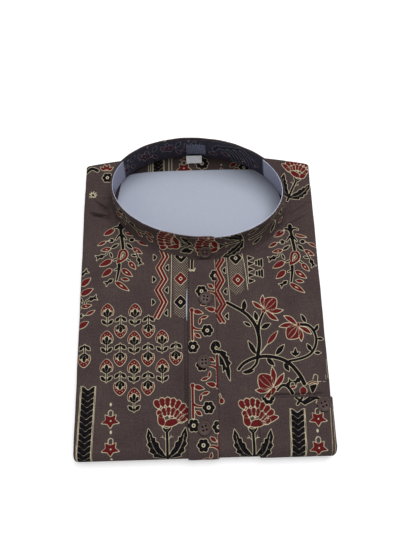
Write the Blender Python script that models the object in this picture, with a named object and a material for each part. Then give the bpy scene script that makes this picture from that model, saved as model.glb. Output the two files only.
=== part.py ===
"""A kurta tunic of printed cotton, folded for sale, with a card in its standing band collar.

It lies face up on its underside: +X is to the right of someone looking down at it from its
lower edge, +Y runs from that edge to the collar, +Z is up. Metres. The origin is under the
middle of the fold, at the height it rests on.

Cloth is laid out flat first, as (across, along), and cloth_point() rolls that round the side
folds and the lower fold. Whatever is sewn on a panel uses the same points, moved out.
"""

import math

import bmesh
import bpy
from mathutils import Matrix, Vector

# Cloth and clearances
CLOTH = 0.0012          # wall of a folded double layer
GAP = 0.0003            # left between neighbours
THICK = 0.0205          # whole folded stack, up to the front's outer face

# Outline of the folded front, seen from above
NEAR = -0.1597          # lower fold
FAR = 0.1612            # top of the back neck, on the centre line
LEFT_AT_NEAR, LEFT_AT_FAR = 0.1276, 0.1260
RIGHT_AT_NEAR, RIGHT_AT_FAR = 0.1261, 0.1252
SHOULDER_DROP = 0.80    # the shoulder fold bows away from the collar, per metre
SKEW = -0.018           # and runs a degree off square
SEAM_Y = 0.1058         # forward yoke seam on the centre line
SEAM_SKEW = -0.051

# Folds
LOWER_R = THICK / 2
SIDE_R, SIDE_TURN = 0.0045, math.radians(150)
UNDER_R, UNDER_TURN = 0.0027, math.radians(135)
UNDER_FAR_R, UNDER_FAR_Y = 0.0052, 0.1470
SHOULDER_TURN = math.radians(50)
YOKE_R, YOKE_R_GROWTH = 0.00195, 0.045
TUCK = 0.004
YOKE_UNDER_Y = 0.131    # how far back the yoke's inside runs under the card
CLOSE_ROWS = 0.055      # the creased stretch of the front below the yoke seam
OPEN_ROWS = 0.075, 0.24
FLAT_SHARE = 0.8        # of a panel's columns: the rest roll round its side folds

# Collar band: two rings, at the neck seam and at its upper edge
BAND_WALL = 0.0014
BASE_A, BASE_B, BASE_Y, POINTED = 0.0945, 0.0593, 0.0998, 1.15
TOP_A, TOP_B, TOP_X, TOP_Y = 0.0880, 0.0515, -0.0009, 0.1056
COLLAR_TILT = math.radians(-5.5)
FRONT_TOP_Z, BACK_TOP_Z = 0.0500, 0.0608
LAP_LEFT, LAP_RIGHT = math.radians(-3.9), math.radians(374.5)
LAP_STEP = BAND_WALL + GAP
BAND_CORNER, BAND_HEIGHT = 0.006, 0.032
BAND_RISES = (0.0, 0.06, 0.2, 0.35, 0.5, 0.7, 0.94, 1.0)
BAND_STEPS = 54

# Placket, pocket and buttons
PLACKET_LEFT, PLACKET_WIDTH = -0.0125, 0.0285
PLACKET_LEAN, PLACKET_SPREAD = math.radians(1.2), 0.0075
PLACKET_TOP = 0.0375
POCKET_LEFT, POCKET_TOP, POCKET_LEAN = 0.0532, -0.1040, math.radians(1.0)
POCKET_TURN = math.radians(105)
TRIM_END = LOWER_R * math.radians(150)
BUTTON_R, BUTTON_T, HOLE_R, HOLE_SPACING = 0.00675, 0.0026, 0.0008, 0.0024
BUTTONS = (  # name, x, y
    ("button_1", 0.0044, -0.0038),
    ("button_2", 0.0011, -0.0677),
    ("button_3", -0.0002, -0.1305),
)
COLLAR_BUTTON_ANGLE, COLLAR_BUTTON_RISE = math.radians(6.9), 0.35
POCKET_BUTTON = (0.1165, -0.1117)

# What is slipped in or sewn inside the neck
CARD_Z, CARD_T = 0.0181, 0.0008
CARD = (  # y, half width: from its upper edge to its lower one
    (0.1425, 0.0300),
    (0.1410, 0.0560),
    (0.1365, 0.0760),
    (0.1290, 0.0815),
    (0.1080, 0.0870),
    (0.0850, 0.0940),
    (0.0500, 0.0990),
    (0.0000, 0.0990),
    (-0.0180, 0.0930),
    (-0.0260, 0.0780),
)
STRIP_T = 0.0006
LABEL_T, LABEL_HALF = 0.0005, math.radians(6.5)
LABEL_ANGLE = math.radians(184)
TAB_X, TAB_WIDTH, TAB_LENGTH, TAB_T = -0.0040, 0.0172, 0.0094, 0.0005
TAB_RISE, TAB_SLOPE = 0.0078, math.radians(70)

# Broad swells and the main creases of the front, all measured on the flat cloth
SWELLS = (  # x, y, reach across, reach along, height
    (0.000, 0.045, 0.070, 0.045, 0.0012),
    (-0.060, -0.060, 0.050, 0.060, 0.0006),
    (0.065, -0.050, 0.045, 0.050, 0.0008),
)
CREASES = (  # from x, y, to x, y, half width, height
    (-0.1230, 0.0985, -0.0760, 0.0800, 0.0050, -0.0011),
    (-0.1000, 0.1060, -0.0740, 0.0900, 0.0045, 0.0010),
    (0.0450, 0.0500, 0.1000, 0.0700, 0.0050, 0.0010),
)
PUCKERS = (  # x, half width, height, along the pocket's mouth
    (0.0760, 0.0075, 0.0005),
    (0.0930, 0.0050, 0.0011),
    (0.1040, 0.0040, 0.0008),
)
LAYERS = (  # height, inset at the sides, what its far end stops at
    (0.0017, 0.0062, "lower fold"),
    (0.0021, 0.0040, "lower fold"),
    (0.0048, 0.0034, "lower fold"),
    (0.0056, 0.0020, "lower fold"),
    (0.0066, 0.0009, "lower fold"),
    (0.0085, 0.0006, "lower fold"),
    (0.0088, 0.0007, "tuck"),
    (0.0098, 0.0014, "tuck"),
    (0.0108, 0.0046, "tuck"),
    (0.0109, 0.0052, "shoulder"),
    (0.0124, 0.0050, "shoulder"),
    (0.0143, 0.0050, "shoulder"),
    (0.0150, 0.0058, "shoulder"),
    (0.0151, 0.0058, "card"),
    (0.0172, 0.0058, "card"),
    (0.0176, 0.0064, "card"),
)
LAYERS_TOP_FAR = 0.1300
LAYERS_IN_FOLD, LAYERS_CORNER = 0.0062, 0.004
SHOULDER_SET_BACK, SHOULDER_Z, SHOULDER_ROUND = 0.0022, 0.0128, 120


def smooth(low, high, value):
    t = min(max((value - low) / (high - low), 0.0), 1.0)
    return t * t * (3 - 2 * t)


def spread(start, end, count):
    return [start + (end - start) * i / (count - 1) for i in range(count)]


def lerp(a, b, t):
    return a + (b - a) * t


# ---------------------------------------------------------------- the cloth's form


def half_width(side, y):
    t = min(max((y - NEAR) / (FAR - NEAR), 0.0), 1.0)
    near, far = (LEFT_AT_NEAR, LEFT_AT_FAR) if side < 0 else (RIGHT_AT_NEAR, RIGHT_AT_FAR)
    return lerp(near, far, t)


def seam_y(x):
    return SEAM_Y + SEAM_SKEW * x


def far_y(x):
    return FAR + SKEW * x - SHOULDER_DROP * x * x


def relief(x, y):
    """Height of the swells and creases, fading out before the side folds."""
    total = sum(
        height * math.exp(-(((x - cx) / rx) ** 2) - ((y - cy) / ry) ** 2)
        for cx, cy, rx, ry, height in SWELLS
    )
    by_neck = smooth(1.03, 1.2, math.hypot(x / BASE_A, (y - BASE_Y) / BASE_B))
    for ax, ay, bx, by, half, height in CREASES:
        run = Vector((bx - ax, by - ay))
        t = (Vector((x - ax, y - ay)).dot(run)) / run.length_squared
        off = abs(run.normalized().cross(Vector((x - ax, y - ay))))
        ends = smooth(-0.2, 0.25, t) * smooth(1.2, 0.75, t)
        total += height * math.exp(-((off / half) ** 2)) * ends * by_neck
    return total * smooth(0.122, 0.108, abs(x)) * smooth(NEAR + 0.004, NEAR + 0.03, y)


def side_fold(along):
    """Radius and turn of the side fold at this place along the cloth."""
    t = smooth(NEAR + LOWER_R, NEAR + LOWER_R - math.pi * LOWER_R, along)
    far = smooth(NEAR - 0.26, NEAR - 0.30, along)
    return lerp(SIDE_R, UNDER_R, t), lerp(SIDE_TURN, lerp(UNDER_TURN, math.radians(95), far), t)


def across_fold(across, flat, radius, out):
    """X, and the way out from the panel's face, of cloth rolled round a side fold."""
    side = -1 if across < 0 else 1
    turn = max(abs(across) - flat, 0.0) / radius
    if turn == 0:
        return across, out
    return side * (flat + (radius + out) * math.sin(turn)), (radius + out) * math.cos(turn) - radius


def cloth_point(across, along, out=0.0):
    """A point of the front: flat above, round the lower fold, under, and up at the far end."""
    fold_y = NEAR + LOWER_R
    under = fold_y - math.pi * LOWER_R
    y_flat = along if along > fold_y else (NEAR if along > under else fold_y + under - along)
    radius, _ = side_fold(along)
    flat = half_width(across, y_flat) - radius
    x, out = across_fold(across, flat, radius, out)
    if along >= fold_y:
        return Vector((x, along, THICK + out + relief(x, along)))
    if along >= under:
        turn = (fold_y - along) / LOWER_R
        return Vector((
            x,
            fold_y - (LOWER_R + out) * math.sin(turn),
            LOWER_R + (LOWER_R + out) * math.cos(turn),
        ))
    far_fold = UNDER_FAR_Y + SKEW * x - UNDER_FAR_R
    run = under - along
    if fold_y + run <= far_fold:
        return Vector((x, fold_y + run, -out))
    turn = (fold_y + run - far_fold) / UNDER_FAR_R
    if turn <= math.pi:
        return Vector((
            x,
            far_fold + (UNDER_FAR_R + out) * math.sin(turn),
            UNDER_FAR_R - (UNDER_FAR_R + out) * math.cos(turn),
        ))
    return Vector((x, far_fold - (turn - math.pi) * UNDER_FAR_R, 2 * UNDER_FAR_R + out))


def yoke_radius(x):
    return YOKE_R + YOKE_R_GROWTH * x * x


def yoke_turn(y):
    return lerp(SIDE_TURN, SHOULDER_TURN, smooth(0.095, 0.126, y))


def yoke_point(across, along, out=0.0):
    """A point of the yoke: flat above, over the shoulder fold and back under the card."""
    y_flat = min(along, FAR)
    flat = half_width(across, y_flat) - SIDE_R
    x, out = across_fold(across, flat, SIDE_R, out)
    radius = yoke_radius(x)
    fold_y = far_y(x) - radius
    if along <= fold_y:
        return Vector((x, along, THICK + out + relief(x, along)))
    turn = (along - fold_y) / radius
    if turn <= math.pi:
        return Vector((
            x,
            fold_y + (radius + out) * math.sin(turn),
            THICK - radius + (radius + out) * math.cos(turn),
        ))
    return Vector((x, fold_y - (turn - math.pi) * radius, THICK - 2 * radius - out))


def lap(angle):
    """How far the band's outer end steps out over its inner end."""
    return LAP_STEP * smooth(math.radians(75), math.radians(16), angle)


def ring_point(angle, a, b, x, y, pointed, out):
    """A place on one of the collar's rings: angle 0 is the front, turning to +X."""
    turn = angle - math.pi / 2
    c, s = math.cos(turn), math.sin(turn)
    s_shaped = s if s >= 0 else -abs(s) ** pointed
    place = Vector((a * c, b * s_shaped))
    normal = Vector((c / a, s / b)).normalized()
    place += normal * out
    return Vector((x, y)) + Matrix.Rotation(COLLAR_TILT, 2) @ place


def band_point(angle, rise, out=0.0):
    """A place on the band: rise 0 is the neck seam and 1 the upper edge."""
    out += lap(angle)
    front = ((1 + math.cos(angle)) / 2) ** 1.5
    bend = Vector((lerp(0.5, 0.95, front), lerp(0.5, 0.20, front)))
    inward = 2 * rise * (1 - rise) * bend.x + rise * rise
    up = 2 * rise * (1 - rise) * bend.y + rise * rise
    low = ring_point(angle, BASE_A, BASE_B, 0.0, BASE_Y, POINTED, out)
    high = ring_point(angle, TOP_A, TOP_B, TOP_X, TOP_Y, 1.0, out)
    seat = THICK + GAP + relief(low.x, low.y)
    top = lerp(BACK_TOP_Z, FRONT_TOP_Z, (1 + math.cos(angle)) / 2)
    place = low.lerp(high, inward)
    lean = out * 0.7 * front * (1 - rise) * smooth(0.0, 0.2, rise)
    return Vector((place.x, place.y, lerp(seat, top, up) + lean))


# ---------------------------------------------------------------- meshes


def material(name, colour, roughness, alpha=1.0):
    made = bpy.data.materials.new(name)
    made.use_nodes = True
    shader = made.node_tree.nodes["Principled BSDF"]
    shader.inputs["Base Color"].default_value = (*colour, 1.0)
    shader.inputs["Roughness"].default_value = roughness
    shader.inputs["Metallic"].default_value = 0.0
    shader.inputs["Alpha"].default_value = alpha
    made.diffuse_color = (*colour, alpha)
    return made


def add_object(name, bm, look, smooth_angle=40):
    bmesh.ops.recalc_face_normals(bm, faces=bm.faces)
    mesh = bpy.data.meshes.new(name)
    bm.to_mesh(mesh)
    bm.free()
    mesh.shade_smooth()
    mesh.set_sharp_from_angle(angle=math.radians(smooth_angle))
    mesh.materials.append(look)
    made = bpy.data.objects.new(name, mesh)
    bpy.context.scene.collection.objects.link(made)
    return made


def add_wall(name, point, rows, columns, outer, inner, look):
    """A sheet with a thickness. point(row, column, out) gives its places."""
    bm = bmesh.new()
    sheets = [
        [[bm.verts.new(point(row, column, out)) for column in columns] for row in rows]
        for out in (outer, inner)
    ]
    for sheet in sheets:
        for upper, lower in zip(sheet, sheet[1:]):
            for i in range(len(upper) - 1):
                bm.faces.new((upper[i], upper[i + 1], lower[i + 1], lower[i]))
    over, under = (
        sheet[0] + [row[-1] for row in sheet[1:]] + sheet[-1][-2::-1] + [row[0] for row in sheet[-2:0:-1]]
        for sheet in sheets
    )
    for i in range(len(over)):
        j = (i + 1) % len(over)
        bm.faces.new((over[i], over[j], under[j], under[i]))
    return add_object(name, bm, look)


def add_loft(name, rings, look):
    """Rings of equal counts joined one to the next, with flat caps at both ends."""
    bm = bmesh.new()
    loops = [[bm.verts.new(place) for place in ring] for ring in rings]
    for low, high in zip(loops, loops[1:]):
        for i in range(len(low)):
            j = (i + 1) % len(low)
            bm.faces.new((low[i], low[j], high[j], high[i]))
    bm.faces.new(loops[0])
    bm.faces.new(loops[-1])
    return add_object(name, bm, look)


def cut(target, cutter):
    cutter.hide_render = True
    cutter.display_type = "WIRE"
    boolean = target.modifiers.new("cut", "BOOLEAN")
    boolean.object = cutter


# ---------------------------------------------------------------- pieces


def widths(count):
    """Shares across a panel: the middle ones are flat, and six at each end roll round a side fold."""
    ends = spread(FLAT_SHARE, 1.0, 6)
    return [-e for e in reversed(ends)] + spread(-FLAT_SHARE, FLAT_SHARE, count)[1:-1] + ends


def flat_part(share, flat):
    return math.copysign(min(abs(share) / FLAT_SHARE, 1.0) * flat, share)


def spot_across(share, flat, radius, turn):
    rolled = max(abs(share) - FLAT_SHARE, 0.0) / (1 - FLAT_SHARE) * turn * radius
    return flat_part(share, flat) + math.copysign(rolled, share)


def make_front(look):
    """Rows measured from the yoke seam on the flat top, then places along the rolled cloth."""
    fold_y = NEAR + LOWER_R
    under = fold_y - math.pi * LOWER_R
    far_fold = under - (UNDER_FAR_Y - UNDER_FAR_R - fold_y)
    end = far_fold - math.pi * UNDER_FAR_R
    rows = [("below the seam", v) for v in spread(0.0, CLOSE_ROWS, 8) + spread(*OPEN_ROWS, 6)]
    rolled = spread(fold_y, under, 13) + spread(under, far_fold, 7)[1:] + spread(far_fold, end, 8)[1:]
    rows += [("along", v) for v in rolled + [end - TUCK]]

    def point(row, share, out):
        kind, along = row
        if kind == "below the seam":
            x = flat_part(share, half_width(share, SEAM_Y) - SIDE_R)
            along = seam_y(x) - GAP / 2 - along
        radius, turn = side_fold(along)
        flat = half_width(share, max(along, NEAR)) - radius
        return cloth_point(spot_across(share, flat, radius, turn), along, out)

    return add_wall("front_panel", point, rows, widths(9), 0.0, -CLOTH, look)


def make_yoke(look):
    """The rows are shares: to 1 above, to 2 round the shoulder fold, to 3 below it."""
    rows = spread(0.0, 1.0, 6) + spread(1.0, 2.0, 8)[1:] + spread(2.0, 3.0, 4)[1:]

    def point(row, share, out):
        x = flat_part(share, half_width(share, SEAM_Y) - SIDE_R)
        radius = yoke_radius(x)
        start, fold_y = seam_y(x) + GAP / 2, far_y(x) - radius
        round_end = fold_y + math.pi * radius
        if row <= 1:
            along = lerp(start, fold_y, row)
        elif row <= 2:
            along = lerp(fold_y, round_end, row - 1)
        else:
            along = lerp(round_end, round_end + fold_y - YOKE_UNDER_Y, row - 2)
        flat = half_width(share, min(along, FAR)) - SIDE_R
        return yoke_point(spot_across(share, flat, SIDE_R, yoke_turn(along)), along, out)

    return add_wall("yoke", point, rows, widths(13), 0.0, -CLOTH, look)


def cut_neck(panels, look):
    turns = spread(0.0, 2 * math.pi, 73)[:-1]
    outline = [ring_point(turn, BASE_A, BASE_B, 0.0, BASE_Y, POINTED, -BAND_WALL / 2) for turn in turns]
    low = THICK - 2 * YOKE_R + CLOTH + GAP / 2
    rings = [[(p.x, p.y, z) for p in outline] for z in (low, THICK + 0.01)]
    cutter = add_loft("neck_cutter", rings, look)
    for panel in panels:
        cut(panel, cutter)


def layers_far_limit(x, z, stop):
    end = UNDER_FAR_Y + SKEW * x - UNDER_FAR_R
    if stop == "lower fold":
        room = UNDER_FAR_R - CLOTH - 2 * GAP
        return end + math.sqrt(max(room**2 - (z - UNDER_FAR_R) ** 2, 0.0))
    if stop == "tuck":
        return end - TUCK - 2 * GAP + min(SKEW * x, 0.0)
    if stop == "shoulder":
        return far_y(x) - SHOULDER_SET_BACK - SHOULDER_ROUND * (z - SHOULDER_Z) ** 2
    return LAYERS_TOP_FAR


def layers_ring(z, inset, stop):
    """The outline of the folded layers at one height, inside the cloth rolled round them."""
    centre = NEAR + LOWER_R
    room = LOWER_R - CLOTH - 2 * GAP
    near = centre - math.sqrt(max(room**2 - (z - LOWER_R) ** 2, 0.0))
    far = {side: layers_far_limit(side * RIGHT_AT_FAR, z, stop) for side in (-1, 1)}

    def x_at(side, y):
        near_fold = LAYERS_IN_FOLD * smooth(NEAR + 0.020, NEAR + 0.011, y)
        far_fold = LAYERS_IN_FOLD * smooth(0.124, 0.134, y) if stop == "lower fold" else 0.0
        corner = LAYERS_CORNER * smooth(far[side] - 0.006, far[side], y)
        return side * (half_width(side, y) - max(inset, near_fold, far_fold) - corner)

    sides = {}
    for side in (-1, 1):
        sides[side] = [(x_at(side, y), y) for y in spread(near + CLOTH, far[side] - CLOTH, 16)]
    left, right = (sides[side][-1][0] - side * CLOTH for side in (-1, 1))
    far_end = [(x, layers_far_limit(x, z, stop)) for x in spread(right, left, 11)]
    left, right = (sides[side][0][0] - side * CLOTH for side in (-1, 1))
    near_end = [(x, near) for x in spread(left, right, 5)]
    return [(x, y, z) for x, y in sides[1] + far_end + sides[-1][::-1] + near_end]


def make_folded_layers(look):
    """Back, sleeves and lower body, folded away under the front, as one solid."""
    return add_loft("folded_layers", [layers_ring(*level) for level in LAYERS], look)


def band_angles():
    """Places round the band, closer together at its lapped ends."""
    near = math.radians(20)
    single = spread(near, 2 * math.pi - near, BAND_STEPS)
    return spread(LAP_LEFT, near, 8), single, spread(2 * math.pi - near, LAP_RIGHT, 8)


def make_band(look):
    start, single, end = band_angles()
    angles = start + single[1:] + end[1:]

    def point(angle, rise, out):
        to_end = min(angle - LAP_LEFT, LAP_RIGHT - angle) * BASE_A
        drop = BAND_CORNER - math.sqrt(BAND_CORNER**2 - max(BAND_CORNER - to_end, 0.0) ** 2)
        return band_point(angle, rise * (1 - drop / BAND_HEIGHT), out)

    return add_wall("collar_band", point, angles, BAND_RISES, BAND_WALL / 2, -BAND_WALL / 2, look)


def make_strip(look):
    """A clear stiffener standing inside the band, stepped in where it passes the label."""

    def point(angle, rise, out):
        step = (LABEL_T + GAP) * smooth(LABEL_HALF * 2.2, LABEL_HALF * 1.3, abs(angle - LABEL_ANGLE))
        return band_point(angle, rise, out - step)

    outer = -BAND_WALL / 2 - GAP
    return add_wall("collar_strip", point, band_angles()[1], BAND_RISES[1:-1], outer, outer - STRIP_T, look)


def make_label(look):
    outer = -BAND_WALL / 2 - GAP
    angles = spread(LABEL_ANGLE - LABEL_HALF, LABEL_ANGLE + LABEL_HALF, 5)
    rises = BAND_RISES[2:6]
    return add_wall("neck_label", band_point, angles, rises, outer, outer - LABEL_T, look)


def make_tab(look):
    """A small folded tab, sewn in at the back neck seam and hanging over the inside back."""
    inside = BAND_WALL / 2 + 5 * GAP + STRIP_T + LABEL_T + TAB_T
    seam = ring_point(math.pi, BASE_A, BASE_B, 0, BASE_Y, 1, -inside)
    top = Vector((TAB_X, seam.y, THICK + TAB_RISE))
    down = Vector((0, -math.cos(TAB_SLOPE), -math.sin(TAB_SLOPE)))
    normal = Vector((0, -math.sin(TAB_SLOPE), math.cos(TAB_SLOPE)))

    def point(along, across, out):
        return top + down * along + Vector((across, 0, 0)) + normal * out

    rows = spread(0.0, TAB_LENGTH, 3)
    columns = (-TAB_WIDTH / 2, TAB_WIDTH / 2)
    return add_wall("size_tab", point, rows, columns, 0.0, -TAB_T, look)


def make_placket(look):
    bottom = NEAR + LOWER_R - TRIM_END
    rows = spread(PLACKET_TOP, NEAR + LOWER_R, 11) + spread(NEAR + LOWER_R, bottom, 11)[1:]

    def point(along, share, out):
        down = PLACKET_TOP - along
        left = PLACKET_LEFT - math.tan(PLACKET_LEAN) * down
        width = PLACKET_WIDTH + PLACKET_SPREAD * down
        return cloth_point(left + share * width, along, out)

    return add_wall("placket", point, rows, spread(0.0, 1.0, 4), GAP + CLOTH, GAP, look)


def make_pocket(look):
    """A patch pocket that runs on round the side fold and the lower fold."""
    bottom = NEAR + LOWER_R - TRIM_END
    rows = spread(POCKET_TOP, NEAR + LOWER_R, 8) + spread(NEAR + LOWER_R, bottom, 10)[1:]

    def pucker(x, along):
        lift = sum(height * math.exp(-(((x - at) / half) ** 2)) for at, half, height in PUCKERS)
        return lift * smooth(0.020, 0.0, POCKET_TOP - along) * smooth(0.122, 0.112, x)

    def point(along, share, out):
        lean = math.tan(POCKET_LEAN) * (RIGHT_AT_NEAR - POCKET_LEFT) * share
        along -= lean * smooth(NEAR + LOWER_R, POCKET_TOP, along)
        radius, _ = side_fold(along)
        flat = half_width(1, max(along, NEAR)) - radius
        rolled = max(share - FLAT_SHARE, 0.0) / (1 - FLAT_SHARE) * POCKET_TURN * radius
        across = lerp(POCKET_LEFT, flat, min(share / FLAT_SHARE, 1.0)) + rolled
        return cloth_point(across, along, out + pucker(across, along))

    columns = spread(0.0, FLAT_SHARE, 10) + spread(FLAT_SHARE, 1.0, 6)[1:]
    return add_wall("pocket", point, rows, columns, GAP + CLOTH, GAP, look)


def make_card(look):
    right = [(w, y) for y, w in CARD]
    outline = right + [(-w, y) for w, y in reversed(right)]
    rings = [[(x, y, z) for x, y in outline] for z in (CARD_Z, CARD_Z + CARD_T)]
    return add_loft("neck_card", rings, look)


def make_button(name, place, normal, look):
    """A turned four-hole button: a raised rim round a dished face."""
    profile = (  # radius, height
        (0.0, 0.0),
        (BUTTON_R * 0.82, 0.0),
        (BUTTON_R, BUTTON_T * 0.45),
        (BUTTON_R * 0.97, BUTTON_T * 0.85),
        (BUTTON_R * 0.86, BUTTON_T),
        (BUTTON_R * 0.68, BUTTON_T * 0.70),
        (0.0, BUTTON_T * 0.62),
    )
    bm = bmesh.new()
    verts = [bm.verts.new((r, 0, z)) for r, z in profile]
    edges = [bm.edges.new(pair) for pair in zip(verts, verts[1:])]
    bmesh.ops.spin(bm, geom=verts + edges, axis=(0, 0, 1), cent=(0, 0, 0), steps=20, angle=2 * math.pi)
    bmesh.ops.remove_doubles(bm, verts=bm.verts, dist=1e-6)
    button = add_object(name, bm, look)
    pins = bmesh.new()
    for dx in (-1, 1):
        for dy in (-1, 1):
            shift = Matrix.Translation((dx * HOLE_SPACING / 2, dy * HOLE_SPACING / 2, BUTTON_T / 2))
            sizes = {"radius1": HOLE_R, "radius2": HOLE_R, "depth": BUTTON_T * 2}
            bmesh.ops.create_cone(pins, cap_ends=True, segments=8, matrix=shift, **sizes)
    cutter = add_object(name + "_holes", pins, look)
    cut(button, cutter)
    turn = Vector((0, 0, 1)).rotation_difference(normal).to_matrix().to_4x4()
    for made in (button, cutter):
        made.matrix_world = Matrix.Translation(place) @ turn
    return button


def make_buttons(look):
    for name, x, y in BUTTONS:
        make_button(name, cloth_point(x, y, CLOTH + 2 * GAP), Vector((0, 0, 1)), look)
    step = 1e-4
    angle, rise, out = COLLAR_BUTTON_ANGLE, COLLAR_BUTTON_RISE, BAND_WALL / 2
    place = band_point(angle, rise, out)
    along = band_point(angle + step, rise, out) - place
    up = band_point(angle, rise + step, out) - place
    normal = along.cross(up).normalized()
    make_button("button_collar", place + normal * 4 * GAP, normal, look)
    x, y = POCKET_BUTTON
    make_button("button_pocket", cloth_point(x, y, CLOTH + 4 * GAP), Vector((0, 0, 1)), look)


def build():
    for old in list(bpy.data.objects):
        bpy.data.objects.remove(old)
    cotton = material("printed_cotton", (0.085, 0.062, 0.055), 0.85)
    hidden = material("folded_cotton", (0.070, 0.052, 0.047), 0.9)
    wood = material("button_wood", (0.10, 0.055, 0.04), 0.5)
    card = material("card", (0.62, 0.65, 0.74), 0.7)
    clear = material("clear_plastic", (0.8, 0.82, 0.9), 0.15, 0.4)
    woven = material("label_weave", (0.10, 0.11, 0.16), 0.8)
    tape = material("tab_tape", (0.75, 0.75, 0.78), 0.8)

    cut_neck((make_front(cotton), make_yoke(cotton)), cotton)
    make_folded_layers(hidden)
    make_band(cotton)
    make_strip(clear)
    make_card(card)
    make_label(woven)
    make_tab(tape)
    make_placket(cotton)
    make_pocket(cotton)
    make_buttons(wood)


build()
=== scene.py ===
import math

import bmesh
import bpy
import numpy as np
from mathutils import Matrix, Vector


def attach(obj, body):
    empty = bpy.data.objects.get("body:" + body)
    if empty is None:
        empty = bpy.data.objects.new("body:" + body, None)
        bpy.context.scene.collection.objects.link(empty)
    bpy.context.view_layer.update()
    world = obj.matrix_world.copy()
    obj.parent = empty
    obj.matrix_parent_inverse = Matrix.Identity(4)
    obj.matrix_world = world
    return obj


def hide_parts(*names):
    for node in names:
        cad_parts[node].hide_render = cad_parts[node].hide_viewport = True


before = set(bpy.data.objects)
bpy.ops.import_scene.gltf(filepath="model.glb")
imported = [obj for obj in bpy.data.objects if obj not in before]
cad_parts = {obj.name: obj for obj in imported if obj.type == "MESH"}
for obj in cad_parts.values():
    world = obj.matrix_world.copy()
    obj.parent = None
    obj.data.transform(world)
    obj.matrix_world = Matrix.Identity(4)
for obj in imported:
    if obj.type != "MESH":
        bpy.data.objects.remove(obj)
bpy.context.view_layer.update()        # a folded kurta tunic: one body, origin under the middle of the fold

tau = 2 * math.pi


def smooth(low, high, value):
    t = np.clip((value - low) / (high - low), 0.0, 1.0)
    return t * t * (3 - 2 * t)


def mix(a, b, t):
    return a + (b - a) * t


def bell(away, half):             # 1 in the middle of a seam or swell, falling to nothing on both sides
    return np.exp(-((away / half) ** 2))


def spread(*values):              # floats, brought to one shape
    return np.broadcast_arrays(*(np.asarray(v, float) for v in values))


def place(x, y, z):
    return np.stack(np.broadcast_arrays(x, y, z), axis=-1)


def pick(test, a, b):             # points from a where the test holds, from b elsewhere
    return np.where(test[..., None], a, b)


def unit(vectors):
    return vectors / np.linalg.norm(vectors, axis=-1, keepdims=True)


def way(turns):                   # one step in the direction of each angle
    return np.stack((np.cos(turns), np.sin(turns)), -1)


def turnBy(degrees, vectors):
    c, s = math.cos(math.radians(degrees)), math.sin(math.radians(degrees))
    return np.asarray(vectors, float) @ np.array(((c, s), (-s, c)))


# The fold: the same sizes as the solids, in metres
fold = {
    "thick": 0.0205, "gap": 0.0003, "wall": 0.0012, "shell": 0.0008,
    "near": -0.1597, "far": 0.1612,
    "left": (0.1276, 0.126), "right": (0.1261, 0.1252),       # half widths, near and far
    "shoulderDrop": 0.8, "skew": -0.018, "seam": 0.1058, "seamSkew": -0.051,
    "sideRadius": 0.0045, "sideTurn": 150.0,
    "underRadius": 0.0027, "underTurn": (135.0, 95.0), "underTurnFrom": (0.26, 0.3),
    "underFarRadius": 0.0052, "underFar": 0.147, "tuck": 0.004,
    "yokeRadius": 0.00195, "yokeGrowth": 0.045, "yokeUnder": 0.131, "yokeTurn": 50.0,
    "yokeTurnFrom": (0.095, 0.126), "edgeWave": 0.00022,
    "edgeWaves": ((83, 0.3, 1.9, 1.0), (190, 2.0, 0.2, 0.6)),  # how often, left and right phase, share
    "grid": 0.00072, "coarse": 0.0014,                        # spacing of the cloth's points
}
lowRadius = fold["thick"] / 2
foldY = fold["near"] + lowRadius
underStart = foldY - math.pi * lowRadius

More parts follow.
